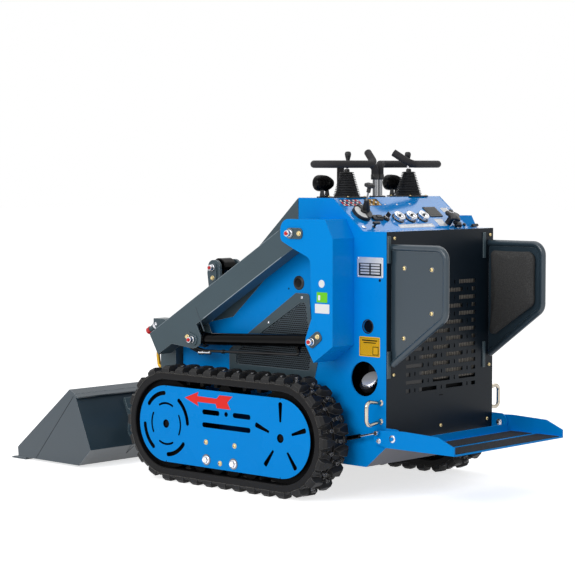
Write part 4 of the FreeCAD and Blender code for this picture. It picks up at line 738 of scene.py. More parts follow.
def wall_details():
    """What is fixed to the left wall: data plate, plain label, port ring and plugs."""
    piece = Piece("wall_fittings", "blue_paint")
    face = side_plane(WALL_Y, 1)
    x, z = DATA_PLATE
    piece.plates(face, (rectangle(135, 80, 4, DATA_PLATE), 0, 0.8, plate_metal),
                 (rectangle(116, 50, 2, (x, z - 8)), 0.75, 0.95, dark_paint))
    for row in range(4):
        for column in (-1, 1):
            field = rectangle(46, 7, 1, (x + column * 27, z + 10 - row * 11))
            piece.prism(field, 0.9, 1.1, plate_metal, face)
    for across in (-62, 62):
        for up in (-35, 35):
            piece.lathe([(3.2, 0.8), (3.2, 1.6), (1.8, 2.4)], zinc, moved(face, x + across, z + up), 14)
    piece.plates(face,
                 (rectangle(107, 79, 4, LABEL), 0, 0.4, yellow_sticker),
                 (rectangle(99, 71, 2, LABEL), 0.35, 0.42, black_shade_and_marks),
                 (rectangle(96, 68, 2, LABEL), 0.38, 0.5, yellow_sticker),
                 (rectangle(30, 34, 2, LABEL_SIGN), 0.45, 0.6, black_shade_and_marks),
                 (rectangle(24, 28, 2, LABEL_SIGN), 0.5, 0.7, yellow_sticker),
                 (rectangle(78, 5, 1, (-731, 643)), 0.45, 0.6, black_shade_and_marks),
                 (rectangle(64, 4, 1, (-731, 634)), 0.45, 0.6, black_shade_and_marks),
                 # painted shade: the two round holes and the slot are near-black patches
                 (circle(6, 20, (-783, 883)), -0.2, 0.25, black_shade_and_marks),
                 (WALL_SLOT, -0.2, 0.3, black_shade_and_marks),
                 (circle(4, 16, (-294, 830)), -0.2, 0.25, black_shade_and_marks))
    port = moved(face, -722, 698)
    piece.lathe([(24, -5.5), (24, -5)], glass_black, port, 32)
    piece.ring(24.5, 29, 0, 1.6, black_plastic, port)
    plug = moved(face, -351, 856)
    piece.lathe([(29, 0), (29, 2), (26, 4.5), (20, 5.5)], black_plastic, plug, 36)
    piece.lathe([(19, 5.4), (17, 5.9), (4, 6.2)], glass_black, plug, 32)
    piece.ring(70, 72.5, -0.5, 0.6, blue_paint, moved(face, FILLER_X, FILLER_Z))
    piece.finish(0.3)


def fuel_cap():
    """Ribbed cap with a brushed top, over the CAD's filler neck."""
    piece = Piece("filler_cap", "cast_iron")
    top = spot(FILLER_X, 0, FILLER_Z)
    top.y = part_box("fuel_filler")[1].y - FILLER_CAP_RADIUS * math.sin(FILLER_TILT) * MM
    place = facing(top, Vector((0, math.cos(FILLER_TILT), math.sin(FILLER_TILT))))
    piece.lathe([(40.5, -25), (40.5, -3), (38.5, 0), (37, 0.6)], chrome, place, 48)
    piece.lathe([(37, 0.4), (34, 1.4), (8, 2.2)], plate_metal, place, 48)
    for step in range(24):
        piece.prism(rectangle(1.6, 5), -23, -4, chrome, moved(turned(place, step * 15), 40.5))
    piece.finish(0.3)


SCREEN_OUTER = rounded([(-336, 814, 6), (-409, 814, 14), (-420, 707, 8), (-456, 536, 20), (-434, 452, 14),
                        (46, 452, 8), (46, 560, 8)])
SCREEN_INNER = rounded([(-362, 776, 8), (-392, 776, 8), (-404, 700, 8), (-424, 590, 14), (-414, 500, 10),
                        (6, 500, 8), (6, 552, 8)])
SCREEN_CORNER = (-422, 504)
SCREEN_PITCH_X, SCREEN_PITCH_Z = 12.0, 8.4


def mesh_panel(side, sign):
    """Side screen: rounded frame round a sheet with rows of short slots, painted near-black as the shade
    inside the perforations.
    """
    piece = Piece("side_screen_" + side, "grey_paint")
    face = side_plane(WALL_Y, sign)
    piece.frame_plate(SCREEN_OUTER, SCREEN_INNER, 0, 4, slate_paint, face)
    piece.prism(SCREEN_INNER, -3, -0.8, mesh_wire, face)
    for row in range(33):
        z = SCREEN_CORNER[1] + row * SCREEN_PITCH_Z
        for column in range(37):
            x = SCREEN_CORNER[0] + (column + row % 2 / 2) * SCREEN_PITCH_X
            if all(within((x + shift, z), SCREEN_INNER) for shift in (-7, 7)):
                piece.prism(rectangle(9.5, 4.4, 0, (x, z)), -0.9, -0.4, black_shade_and_marks, face)
    for x, z in ((-372, 797), (-184, 684)):
        piece.screw(moved(face, x, z, 4), 6.5, chrome)
    return piece.finish(0.4)


LOOP_X, LOOP_Z, LOOP_HALF = -789.0, 362.0, 37.0


def tie_downs():
    """Weld rings at the feet of the lashing loops."""
    piece = Piece("loop_welds", "chrome")
    for _, sign in SIDES:
        for end in (1, -1):
            foot = out_from(LOOP_X, WALL_Y, LOOP_Z + end * LOOP_HALF, sign)
            piece.lathe([(13, 0), (11, 2.5), (8.5, 5)], loop_steel, foot, 20)
    piece.finish()


# ---------------------------------------- console
SHELF = (-693.0, DECK_Z)
SLOPE_TOP = (-535.0, CONSOLE_TOP)
SLOPE_RUN = Vector((SLOPE_TOP[0] - SHELF[0], 0, SLOPE_TOP[1] - SHELF[1])).normalized()


def on_slope(up, y):
    """Matrix on the console's sloped face, up from its lower edge: local X is to the operator's right."""
    place = spot(SHELF[0], y, SHELF[1]) + SLOPE_RUN * up * MM
    return facing(place, Vector((-SLOPE_RUN.z, 0, SLOPE_RUN.x)), SLOPE_RUN)


def gauge(piece, place):
    """Round instrument in a plated bezel on a black ring, which is painted shade round the bezel, with a
    plain numberless face and a needle.
    """
    # black ring under the bezel, standing for the shade round it
    piece.lathe([(28, 0), (28, 3), (25, 4)], black_plastic, place, 40)
    bezel = [(24, 3), (22, 4), (22, 14), (25, 16), (25.5, 19), (22.5, 21.5), (20.5, 20)]
    piece.lathe(bezel, chrome, place, 40)
    piece.lathe([(20.8, 18.0), (20.8, 19.6)], dial_face, place, 32)
    tick = rectangle(2.4, 6.5, 0, (0, 15.5))
    for step in range(9):
        piece.prism(tick, 19.5, 20.1, black_shade_and_marks, turned(place, -130 + step * 32.5))
    piece.prism([(-2.2, -5), (2.2, -5), (0.8, 15), (-0.8, 15)], 20, 20.6, black_shade_and_marks, turned(place, 52))
    piece.lathe([(6, 19.5), (6, 21.6), (3, 22.4)], black_plastic, place, 16)


def star_knob(piece, place, radius, stand):
    """Five-lobed hand knob on a short stem."""
    piece.lathe([(radius * 0.42, 0), (radius * 0.42, stand - 20), (radius * 0.55, stand - 17)],
                black_plastic, place, 20)
    piece.lathe([(radius * 0.6, stand - 18), (radius * 0.92, stand - 15), (radius, stand - 8),
                 (radius * 0.94, stand - 3), (radius * 0.55, stand), (radius * 0.2, stand + 1)],
                black_plastic, place, 60, 5, 0.16)


def tee_knob(piece, place, height):
    piece.lathe([(7, 0), (7, 4), (4.5, 5), (4.5, height - 7)], black_plastic, place, 16)
    grip = rounded([(-21, -6, 5), (21, -6, 5), (21, 6, 5), (-21, 6, 5)])
    piece.prism(grip, -4, 5, black_plastic, moved(place, z=height - 4), 1.5)


def colour_blocks(piece, place, columns, colours):
    """Three rows of plain checks of colour on a dark film, as on a maintenance chart."""
    step = 13
    for row in range(3):
        for column in range(columns):
            paint = colours[(column + row) % len(colours)]
            block = rectangle(step * 0.74, step * 0.74, 0, ((column + 0.5) * step, (row + 0.5) * step))
            piece.prism(block, 0.08, 0.4, paint, place)


def console_fittings():
    """Instruments, switches, labels and hand controls on the sloped face."""
    piece = Piece("console_instruments", "black_plastic")
    for y in (62, -15, -94):
        gauge(piece, on_slope(68, y))
    display, small_label, long_label = on_slope(102, -196), on_slope(36, -187), on_slope(21, -14)
    left_chart, right_chart = on_slope(154, 317), on_slope(154, 163)
    piece.prism(rectangle(82, 62, 3), 0, 3.5, black_plastic, display, 1.0)
    piece.prism(rectangle(62, 42, 2), 3.4, 3.8, glass_black, display)
    piece.prism(rectangle(46, 28, 2), 0.0, 0.4, white_sticker, on_slope(113, -292))
    piece.prism(rectangle(52, 44, 2), 0.0, 0.4, white_sticker, small_label)
    for row in range(3):
        for column in range(3):
            field = rectangle(11, 8, 1, (column * 15 - 15, row * 12 - 12))
            piece.prism(field, 0.35, 0.5, plate_metal, small_label)
    piece.prism(rectangle(223, 22, 2), 0.0, 0.4, white_sticker, long_label)
    for step in range(7):
        piece.prism(rectangle(22, 12, 1, (step * 30 - 90, 0)), 0.35, 0.5, plate_metal, long_label)
    piece.prism(rectangle(122, 42, 2, (58.5, 19.5)), 0, 0.12, navy_sticker, left_chart)
    piece.prism(rectangle(83, 42, 2, (39, 19.5)), 0, 0.12, brown_sticker, right_chart)
    colour_blocks(piece, left_chart, 9, (white_sticker, red_sticker, white_sticker, navy_sticker))
    colour_blocks(piece, right_chart, 6, (ochre_sticker, white_sticker, ochre_sticker, dark_paint))
    for up, y in ((157, 61), (155, -13), (157, -97)):
        piece.screw(on_slope(up, y), 4, zinc)
    switch = on_slope(74, 188)
    piece.prism(rectangle(62, 30, 10), 0, 9, black_plastic, switch, 3)
    piece.prism(rectangle(34, 16, 4, (8, 0)), 8, 13, black_plastic, switch, 2)
    key = on_slope(69, 137)
    piece.lathe([(15, 0), (15, 6), (12, 8), (12, 12)], black_plastic, key, 28)
    piece.lathe([(10, 11), (10, 13)], chrome, key, 24)
    piece.prism(rectangle(5, 20, 2), 13, 32, black_plastic, key, 1)
    star_knob(piece, on_slope(28, -228), 33, 52)
    star_knob(piece, on_slope(8, -262), 19, 24)
    ring = [on_slope(24, -226) @ Vector((18 * math.cos(a), 30 + 18 * math.sin(a), 52))
            for a in [math.pi * step / 10 for step in range(21)]]
    piece.tube(ring, 1.1, chrome, 8)
    piece.lathe([(7, 0), (7, 6), (5, 8)], black_plastic, on_slope(14, -323), 20)
    tee_knob(piece, on_slope(22, 255), 26)
    piece.screw(on_slope(20, 311), 6, zinc)
    piece.lathe([(8, 0), (8, 3)], zinc, on_slope(24, 318), 20)
    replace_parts(piece.finish(0.4), "console_controls")


def throttle():
    """Hand lever that stands up from a half-black dial: black arm, plated stem and star knob."""
    piece = Piece("throttle_lever", "black_plastic")
    dial = on_slope(100, 262)
    piece.lathe([(42, 0), (42, 13), (40, 15)], black_plastic, dial, 44)
    piece.lathe([(35, 14.5), (35, 15.6)], white_sticker, moved(dial, -5, -2), 36)
    sector = [(41 * math.cos(math.radians(a)), 41 * math.sin(math.radians(a))) for a in range(-95, 96, 10)]
    piece.prism([(4, 0), *sector], 15.4, 21, black_plastic, dial, 1.0)
    piece.lathe([(12, 15), (12, 24), (9, 26)], black_plastic, dial, 30)
    arm = [dial @ Vector(p) for p in ((20, 4, 18), (14, 8, 34), (5, 12, 52), (0, 14, 64))]
    piece.tube(arm, 17, black_plastic, 24, wave=lambda share: 1.0 - 0.46 * share)
    stem = [dial @ Vector((0, 14, 62)), dial @ Vector((0, 30, 98))]
    piece.tube(stem, 3.6, steel, 16)
    lean = (stem[1] - stem[0]).normalized()
    star_knob(piece, facing(stem[1] - lean * 0.006, lean, X), 20, 38)
    piece.finish(0.6)


def tower_knob():
    """Small pull knob on the right tower's top."""
    piece = Piece("tower_knob", "black_plastic")
    place = spot(-637, -430, edge_of("tower_right", 1, 2) - 52.5)
    tee_knob(piece, facing(place, Vector((-0.874, 0, 0.485)), Vector((0.485, 0, 0.874))), 28)
    piece.finish(0.4)


# ---------------------------------------- bars, joysticks and lamps
BAR_Z = CONSOLE_TOP + 136
BAR_FRONT = -419.0
BAR_REAR = -532.0
BAR_END_Y = 354.0
POST_X = -478.0
POST_Y = 16.0
FRONT_POST_Y = 165.0
GRIP_X = -563.0
GRIP_END = (-496.0, 83.0, BAR_Z + 48)
STICK_X, STICK_Y = -483.0, 198.0
LIGHT_X, LIGHT_Y, LIGHT_Z = -382.0, 223.0, CONSOLE_TOP + 58


def grab_bar(side, sign):
    """Foam-covered handle loop on a plated post, with a black collar and foot flange. The left loop has a
    foam-covered post in front as well."""
    piece = Piece("bar_loop_" + side, "black_plastic")
    route = [(POST_X, POST_Y, CONSOLE_TOP + 78), (POST_X, POST_Y, BAR_Z), (BAR_FRONT, 92, BAR_Z),
             (BAR_FRONT, BAR_END_Y, BAR_Z), (BAR_REAR, BAR_END_Y, BAR_Z), (GRIP_X, 116, BAR_Z), GRIP_END]
    piece.tube(arc_route([spot(x, y * sign, z) for x, y, z in route], 44, 10), 15.4, bar_foam, 24)
    plated = [(post_chrome, [(10, 0), (10, 96)]), (black_plastic, [(16, 72), (17, 74), (17, 92), (15, 95)])]
    covered = [(bar_foam, [(10, 0), (10, 96)]), (bar_foam, [(15, 4), (15, 132)])]
    posts = [(POST_X, POST_Y * sign, plated)]
    if sign > 0:
        posts.append((BAR_FRONT, FRONT_POST_Y, covered))
    for x, y, parts in posts:
        foot = top_face(x, y, CONSOLE_TOP)
        for material, rings in parts:
            piece.lathe(rings, material, foot, 28)
        piece.lathe([(24, 0), (24, 4), (22, 5)], black_plastic, foot, 32)
        for step in range(3):
            piece.screw(moved(turned(foot, step * 120.32), 19, z=5), 2.6, zinc)
    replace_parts(piece.finish(0.5), "grab_bar_" + side)


def joystick(side, sign):
    """Lever in a ribbed rubber boot, with a pear-shaped knob."""
    piece = Piece("joystick_" + side, "black_plastic")
    foot = top_face(STICK_X, STICK_Y * sign, CONSOLE_TOP)
    piece.prism(rectangle(128, 118, 8), 0, 4, black_plastic, foot, 1)
    rings = [(53, 4), (53, 8)]
    for rib in range(14):
        radius = 55 - 2 * rib
        low = 9 + rib * 6.9
        rings += [(radius - 7, low), (radius, low + 0.8), (radius, low + 3.8), (radius - 7, low + 4.8)]
    piece.lathe([*rings, (24, 104), (10, 105)], boot_rubber, foot, 40)
    knob_y = (STICK_Y - 6) * sign
    piece.tube([spot(STICK_X, STICK_Y * sign, CONSOLE_TOP + 92), spot(STICK_X, knob_y, CONSOLE_TOP + 150)],
               5, chrome, 20)
    piece.lathe([(11, 103), (11, 113), (8, 117)], black_plastic, foot, 24)
    piece.lathe([(7, 0), (8, 4), (9, 10), (12, 20), (13.3, 28), (12.6, 34), (9.5, 38.5), (4, 40)],
                black_plastic, top_face(STICK_X, knob_y, CONSOLE_TOP + 148), 28)
    for step in range(4):
        piece.screw(moved(turned(foot, 45 + 90 * step), 73, z=4), 4, brass)
    return piece.finish(0.4)


def work_light(side, sign):
    """Round lamp that faces forward, finned behind, on a bent bracket."""
    piece = Piece("work_light_" + side, "black_plastic")
    place = facing(spot(LIGHT_X, LIGHT_Y * sign, LIGHT_Z), X)
    shell = [(4, -44), (13, -42), (18, -38)]
    for fin in range(8):
        low = -36 + fin * 5.5
        radius = 33 - 0.0085 * (low - 4) ** 2
        shell += [(radius - 5, low), (radius, low + 0.6), (radius, low + 2.4), (radius - 5, low + 3.0)]
    shell += [(33, 10), (34, 14), (34, 32), (32, 38), (29, 40), (28, 34)]
    piece.lathe(shell, black_gloss, place, 44)
    piece.lathe([(28, 30), (22, 33), (8, 34.5)], plate_metal, place, 36)
    for step in range(6):
        piece.lathe([(5, 0), (4, 2), (2, 3)], white_sticker, moved(turned(place, step * 60), 17, z=32.5), 14)
    ear = rounded([(-12, -56, 2), (14, -56, 2), (9, -27, 3), (-7, -27, 3)])
    for arm in (1, -1):
        beside = facing(spot(LIGHT_X, (LIGHT_Y + arm * 15) * sign, LIGHT_Z), Y)
        piece.prism(ear, -2, 2, black_plastic, beside, 0.5)
    base = top_face(LIGHT_X, LIGHT_Y * sign, CONSOLE_TOP)
    piece.prism(rectangle(78, 18, 3), 0, 4, black_plastic, base, 1)
    piece.bolt(moved(base, z=4), 7, zinc)
    return piece.finish(0.5)


# ---------------------------------------- rear panel and hip pads
PLATFORM_PIN = (-864.0, 264.0)
PLATFORM_EAR_Y = 335.0
RADIATOR_X = BODY_REAR + 52
RADIATOR_Z = 675.0
PAD_FACE = 318.0
PAD_BACK, PAD_FRONT = 289.5, 313.2
PAD_SWELL = 0.009
PAD_PROUD = 0.006
PAD_SEAT = 0.0002


def rear_details():
    """Screws, mounting strips and the latch slot on the rear panel, and bolts on the platform's ears."""
    piece = Piece("rear_fittings", "dark_panel")
    for y, z in ((300, 1049), (-320, 1047), (303, 509), (-318, 505), (4, 281), (-307, 279), (307, 281)):
        piece.screw(rear_face(BODY_REAR, y, z), 7, brass)
    # latch slot: near-black patch, painted shade
    piece.prism(rectangle(26, 4, 1.5), -0.5, 0.3, black_shade_and_marks, rear_face(BODY_REAR, 1, 405))
    for sign, strip_y in ((1, 334.5), (-1, -279.5)):
        pin = facing(spot(PLATFORM_PIN[0], PLATFORM_EAR_Y * sign, PLATFORM_PIN[1]), Y * -sign)
        piece.lathe([(14, -1), (14, 1.5), (12, 2.5)], zinc, pin, 24)
        piece.bolt(moved(pin, z=2), 9, zinc, False)
        for low, high in ((952, 1058), (497, 604)):
            middle = rear_face(BODY_REAR, strip_y, (low + high) / 2)
            piece.prism(rectangle(17, high - low, 1.5), 0, 5, slate_paint, middle, 1)
    piece.finish(0.4)


def radiator():
    """Finned core close behind the louvres."""
    piece = Piece("radiator_core", "cast_iron")
    core = rear_face(RADIATOR_X, 0, RADIATOR_Z)
    # near-black core, painted shade behind and between the fins
    piece.prism(rectangle(610, 500, 6), 0, 34, black_shade_and_marks, core)
    for fin in range(54):
        piece.prism(rectangle(4.2, 450, 0, (-291.5 + fin * 11, 18)), 33, 37, radiator_fin, core)
    piece.finish()


def pad_hardware(side, sign):
    """Bolts and washers that hold the hip pad on its plate."""
    piece = Piece("pad_bolts_" + side, "grey_paint")
    for x, z in ((-888, 934), (-1026, 933), (-1026, 763), (-887, 659)):
        place = out_from(x, PAD_FACE, z, sign)
        piece.lathe([(11, 0), (11, 1.4), (10, 2.0)], steel, place, 24)
        piece.screw(moved(place, z=1.8), 8.5, brass)
    piece.finish(0.4)


def hip_pad(side, sign):
    """Thick foam cushion, swollen by a cloth simulation against its plate."""
    piece = Piece("hip_cushion_" + side, "pad_foam")
    outline = rounded([(-839, 991, 20), (-1069, 991, 38), (-1069, 762, 38), (-839, 608, 20)], 8)
    piece.prism(outline, PAD_BACK, PAD_FRONT, pad_foam, side_plane(0, sign), 5)
    cushion = piece.finish(0, 60)
    swell(cushion)
    smooth = cushion.modifiers.new("smooth", "SUBSURF")
    smooth.levels = smooth.render_levels = 1
    for polygon in cushion.data.polygons:
        polygon.use_smooth = True
    keep_inside(cushion, *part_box("hip_pad_" + side))
    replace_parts(cushion, "hip_pad_" + side)


def swell(obj):
    """Inflate a closed mesh with the cloth solver and keep the result; no point moves beyond PAD_SWELL."""
    bpy.context.view_layer.objects.active = obj
    remesh = obj.modifiers.new("remesh", "REMESH")
    remesh.mode = "VOXEL"
    remesh.voxel_size = 0.006
    bpy.ops.object.modifier_apply(modifier=remesh.name)
    start = [v.co.copy() for v in obj.data.vertices]
    cloth = obj.modifiers.new("cloth", "CLOTH")
    cloth.settings.use_pressure = True
    cloth.settings.uniform_pressure_force = 4.0
    cloth.settings.effector_weights.gravity = 0.0
    cloth.settings.quality = 6
    cloth.settings.tension_stiffness = 12
    cloth.settings.compression_stiffness = 12
    for step in range(1, 21):
        bpy.context.scene.frame_set(step)
    view = bpy.context.evaluated_depsgraph_get()
    swollen = [v.co.copy() for v in obj.evaluated_get(view).data.vertices]
    obj.modifiers.remove(cloth)
    bpy.context.scene.frame_set(1)
    for vertex, first, last in zip(obj.data.vertices, start, swollen):
        shift = last - first
        if shift.length > PAD_SWELL:
            shift *= PAD_SWELL / shift.length
        vertex.co = first + shift
    obj.data.update()


def keep_inside(obj, low, high):
    """The plate side stays flat on its plate; the rest may stand a little proud of the CAD pad."""
    for vertex in obj.data.vertices:
        for axis in (0, 2):
            vertex.co[axis] = min(max(vertex.co[axis], low[axis] - PAD_PROUD), high[axis] + PAD_PROUD)
        if vertex.co.y > 0:
            vertex.co.y = min(max(vertex.co.y, low.y - PAD_PROUD), high.y - PAD_SEAT)
        else:
            vertex.co.y = max(min(vertex.co.y, high.y + PAD_PROUD), low.y + PAD_SEAT)
    obj.data.update()


# ---------------------------------------- platform
PLATFORM_SHEET = 6.0
GRIP_WIDTH = 676.0


def platform_details():
    """Two anti-slip strips on the deck and the pins and bolts on its flanges."""
    piece = Piece("platform_grips", "blue_paint", "platform")
    deck_z = edge_of("platform_deck", 0, 2) + PLATFORM_SHEET
    rear = edge_of("platform_deck", 0, 0)
    for start, length in ((6, 112), (142, 108)):
        middle = top_face(rear + start + length / 2, 0, deck_z)
        piece.prism(rectangle(GRIP_WIDTH, length, 6), 0, 1.6, grip_strip, middle, 0.4)
    flange_y = edge_of("platform_deck", 1, 1)
    for sign in (1, -1):
        pin = out_from(PLATFORM_PIN[0], flange_y, PLATFORM_PIN[1], sign)
        piece.lathe([(15, 0), (15, 2), (13, 3)], zinc, pin, 24)
        piece.bolt(out_from(-794, flange_y, 250, sign), 9, zinc)
    piece.finish(0.4)


# ---------------------------------------- cylinders, hoses and couplers
LIFT_CYLINDER_Y = 416.0
# radius and length of the barrels
LIFT_BARREL = (26.0, 668.9)
TILT_BARREL = (28.0, 538.4)


def cylinder_details(name, body, base, eye, y, radius, length):
    """Rings and a notched gland nut on a hydraulic cylinder's barrel."""
    piece = Piece(name, "black_paint", body)
    start, end = spot(base[0], y, base[1]), spot(eye[0], y, eye[1])
    run = (end - start).normalized()
    for along, low, high, grow in ((34, 0, 14, 2.5), (length - 34, 0, 6, 1.2), (length - 20, 0, 17, 3)):
        rings = [(-1, low), (grow, low + 1.5), (grow, high - 1.5), (-1, high)]
        piece.lathe([(radius + out, height) for out, height in rings], black_gloss,
                    facing(start + run * along * MM, run, Y), 40)
    mouth = facing(start + run * (length - 3) * MM, run, Y)
    piece.ring(radius * 0.66, radius - 4, 0, 3.5, black_plastic, mouth)
    # notches in the gland nut: near-black blocks, painted shade
    for step in range(6):
        notch = moved(turned(mouth, step * 60), radius + 2.6, z=-9)
        piece.prism(rectangle(1.4, 7), -5, 5, black_shade_and_marks, notch)
    piece.finish(0.5)


def hose_details(side, sign):
    """Crimped fittings at the ends of the lift hose and the ribbed guard at its port."""
    piece = Piece("hose_ends_" + side, "black_plastic", "lift_barrel_" + side)
    run = Vector((LIFT_BASE[0] - LIFT_EYE[0], 0, LIFT_BASE[1] - LIFT_EYE[1])).normalized()
    below = Vector((-run.z, 0, run.x))

    def beside(distance, drop, normal):
        """Matrix at a distance along the cylinder from its eye and a drop below its centre line."""
        place = spot(LIFT_EYE[0], LIFT_CYLINDER_Y * sign, LIFT_EYE[1]) + (run * distance + below * drop) * MM
        return facing(place, normal, Y)

    piece.lathe([(7, -64), (9.5, -62), (9.5, -38), (8, -36), (8, -22), (10, -20), (10, 4), (7, 6)], zinc,
                beside(2, 57.3, -run), 24)
    for rib in range(9):
        piece.lathe([(6, -2.4), (10, -1.4), (10, 1.4), (6, 2.4)], boot_rubber,
                    beside(-2 - rib * 6, 52.5 - rib * 2.1, -run), 20)
    port = beside(570, 26, below)
    piece.lathe([(14, -2), (14, 8), (11, 9)], black_gloss, port, 6)
    piece.lathe([(8.5, 8), (8.5, 22), (7, 24)], black_gloss, port, 20)
    piece.ring(6, 9, -6, 6, black_plastic, beside(140, 52, run))
    piece.finish(0.4)


def aux_details():
    """Sleeves, ball rings and red dust caps with their straps on the two auxiliary couplers."""
    piece = Piece("aux_coupler_caps", "black_plastic", "lift_arms")
    run = Vector((math.cos(ARM_SLOPE), 0, -math.sin(ARM_SLOPE)))
    z = edge_of("aux_couplers", 1, 2) - 18.4
    for y in (315, 351):
        start = spot(470, y, z)
        place = facing(start, run, Z)
        piece.lathe([(16.2, 4), (17.5, 5), (17.5, 14), (16.2, 15)], zinc, place, 32)
        piece.lathe([(16.2, 20), (17.2, 21), (17.2, 30), (16.2, 31)], zinc, place, 32)
        piece.lathe([(13.2, 64), (16, 65), (16, 80), (14.5, 83), (5, 83.5)], red_plastic, place, 28)
        strap = ((70, 16), (66, 32), (45, 34), (36, 17))
        piece.tube([start + (run * along - Z * drop) * MM for along, drop in strap], 1.6, black_plastic, 10)
    piece.finish(0.5)


# ---------------------------------------- bucket, coupler and hood
COUPLER_Y = 376.0
HOOD_TOP, HOOD_FOOT = Vector((-348, 1201)), Vector((-109, 985))


def bucket_details():
    """Lines of the side plates' folds, lower seams, and the bolts of the cutting edge."""
    piece = Piece("bucket_trim", "grey_paint", "bucket")
    side_y = edge_of("bucket", 1, 1) - 3
    seam = (Vector((753, 27)) - Vector((681, 81))).normalized()
    for sign in (1, -1):
        piece.prism(strip((800, 315), (1061, 12), 1.2), -0.5, 0.7, dark_paint, side_plane(side_y, sign))
        lean = facing(spot(717, 312 * sign, 54), Vector((seam.y, 0, -seam.x)), Vector((seam.x, 0, seam.y)))
        piece.prism(rectangle(3, 86), -0.5, 0.6, black_shade_and_marks, lean)
    tip = edge_of("bucket", 1, 0)
    for step in range(7):
        place = top_face(tip - 62, (step - 3) * 165, 10)
        piece.lathe([(13, -1), (13, 1.2), (10, 3.4), (5, 3.8)], steel, place, 24)
    piece.finish(0.4)


def coupler_details():
    """Caps and bolts on the ends of the quick coupler's pins."""
    piece = Piece("coupler_hardware", "grey_paint", "bucket")
    x, z = joint_spot("bucket_dump")
    for sign in (1, -1):
        place = out_from(x, COUPLER_Y, z, sign)
        piece.lathe([(24, 0), (24, 4), (21, 6), (8, 7)], slate_gloss, place, 36)
        piece.bolt(moved(place, z=6), 7, steel, False)
    piece.finish(0.5)


def hood_details():
    """Clamps with screws along the hood's upper edge."""
    piece = Piece("hood_fittings", "grey_paint")
    run = (HOOD_FOOT - HOOD_TOP).normalized()
    for y in (300, 262, -262, -300):
        place = facing(spot(HOOD_TOP.x + 18, y, HOOD_TOP.y + run.y / run.x * 18), Vector((-run.y, 0, run.x)),
                       Vector((-run.x, 0, -run.y)))
        piece.prism(rectangle(24, 30, 4), 0, 6, black_plastic, place, 1.5)
        piece.screw(moved(place, 0, 4, 6), 5, zinc)
    piece.finish(0.4)


# ---------------------------------------- studio
WHITE = (1, 1, 1, 1)
FLOOR_COLOUR = (0.86, 0.86, 0.86, 1)
AMBIENT = 0.40
FLOOR_GLOW = 0.70
FLOOR_REACH = 40.0
LAMP_AIM = Vector((0, 0, 0.6))
# name, place (m), width and height (m), power (W)
LAMPS = (
    ("key_left", (-1.0, 6.5, 3.6), (5.0, 3.0), 215.0),
    ("fill_rear", (-6.5, 0.5, 2.6), (3.0, 3.0), 30.0),
    ("top", (0.5, 0.5, 6.0), (5.0, 5.0), 100.0),
    ("right", (-0.5, -6.5, 5.6), (4.0, 3.0), 45.0),
)
CAMERA_PLACE = (-5.767, 6.204, 1.343)
CAMERA_YAW = math.radians(47.074)
CAMERA_DOWN = math.radians(3.637)
CAMERA_LENS = 122.2


def seen_as(tree, output, plain, seen, kinds):
    """Give an output its shader, and another one for rays of these kinds."""
    path = add_node(tree, "LightPath")
    share = path.outputs[kinds[0]]
    for kind in kinds[1:]:
        either = add_node(tree, "Math", {0: share, 1: path.outputs[kind]}, operation="MAXIMUM")
        share = either.outputs["Value"]
    mix = add_node(tree, "MixShader", {0: share, 1: plain.outputs[0], 2: seen.outputs[0]})
    set_inputs(tree, tree.nodes[output], {"Surface": mix.outputs["Shader"]})


def white_world():
    """Soft even light, which is plain white where it is seen straight, in a reflection or through glass."""
    world = bpy.data.worlds.new("studio")
    world.use_nodes = True
    tree = world.node_tree
    light = tree.nodes["Background"]
    set_inputs(tree, light, {"Color": WHITE, "Strength": AMBIENT})
    seen = add_node(tree, "Background", {"Color": WHITE, "Strength": 1.0})
    seen_as(tree, "World Output", light, seen, ("Is Camera Ray", "Is Transmission Ray", "Is Glossy Ray"))
    return world


def floor_material():
    """White seen straight or in a reflection, with the shadow that lies on it."""
    material = bpy.data.materials.new("floor_white")
    material.use_nodes = True
    tree = material.node_tree
    shader = tree.nodes["Principled BSDF"]
    set_inputs(tree, shader, {"Base Color": FLOOR_COLOUR, "Roughness": 0.95, "Specular IOR Level": 0.0})
    glow = add_node(tree, "Emission", {"Color": WHITE, "Strength": FLOOR_GLOW})
    both = add_node(tree, "AddShader", {0: shader.outputs["BSDF"], 1: glow.outputs["Emission"]})
    seen_as(tree, "Material Output", shader, both, ("Is Camera Ray", "Is Glossy Ray"))
    return material


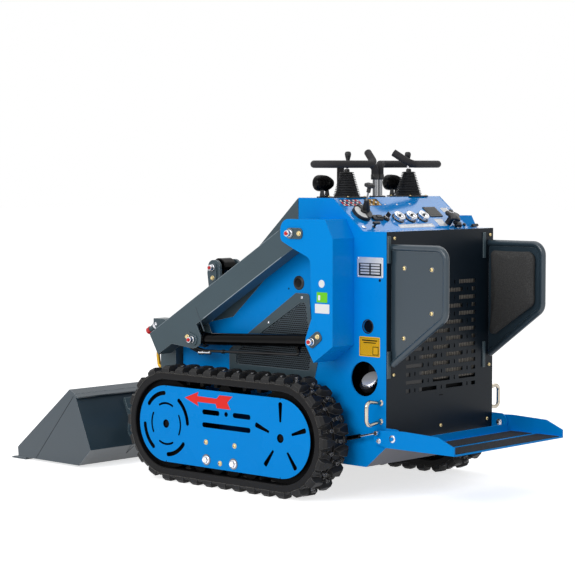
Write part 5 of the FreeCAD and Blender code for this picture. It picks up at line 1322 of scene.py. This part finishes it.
def studio():
    scene = bpy.context.scene
    scene.view_settings.view_transform = "Standard"
    scene.world = white_world()
    mesh = bpy.data.meshes.new("floor")
    mesh.from_pydata([(x, y, 0) for x, y in rectangle(2 * FLOOR_REACH, 2 * FLOOR_REACH)], [], [(0, 1, 2, 3)])
    mesh.materials.append(floor_material())
    floor = bpy.data.objects.new("floor", mesh)
    floor.location.z = -0.0005
    scene.collection.objects.link(floor)
    for name, place, size, power in LAMPS:
        light = bpy.data.lights.new(name, "AREA")
        light.shape = "RECTANGLE"
        light.size, light.size_y = size
        light.energy = power
        lamp = bpy.data.objects.new(name, light)
        lamp.location = place
        lamp.rotation_euler = (LAMP_AIM - Vector(place)).to_track_quat("-Z", "Y").to_euler()
        scene.collection.objects.link(lamp)


def camera():
    data = bpy.data.cameras.new("camera")
    data.lens = CAMERA_LENS
    data.sensor_width = 36.0
    data.clip_end = 200.0
    view = bpy.data.objects.new("camera", data)
    view.location = CAMERA_PLACE
    aim = Vector((math.cos(CAMERA_DOWN) * math.cos(CAMERA_YAW), -math.cos(CAMERA_DOWN) * math.sin(CAMERA_YAW),
                  -math.sin(CAMERA_DOWN)))
    view.rotation_euler = aim.to_track_quat("-Z", "Y").to_euler()
    bpy.context.scene.collection.objects.link(view)
    bpy.context.scene.camera = view


# ---------------------------------------- assembly
def build():
    finish_nodes()
    for side, sign in SIDES:
        for make in (track, guard_details, pin_ends, tower_labels, arm_details, grab_bar, pad_hardware,
                     hip_pad, hose_details):
            make(side, sign)
        cylinder_details("lift_cylinder_rings_" + side, "lift_barrel_" + side, LIFT_EYE, LIFT_BASE,
                         LIFT_CYLINDER_Y * sign, *LIFT_BARREL)
    for make, node in ((joystick, "joysticks"), (work_light, "work_lights"), (mesh_panel, "mesh_panels")):
        pieces = [make(side, sign) for side, sign in SIDES]
        for piece in pieces:
            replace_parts(piece, node)
    for make in (wall_details, tie_downs, fuel_cap, console_fittings, throttle, tower_knob, rear_details,
                 platform_details):
        make()
    cylinder_details("tilt_cylinder_rings", "tilt_barrel", TILT_BASE, TILT_EYE, 0, *TILT_BARREL)
    for make in (tilt_pin_end, radiator, aux_details, bucket_details, coupler_details, hood_details):
        make()


camera()
build()
studio()
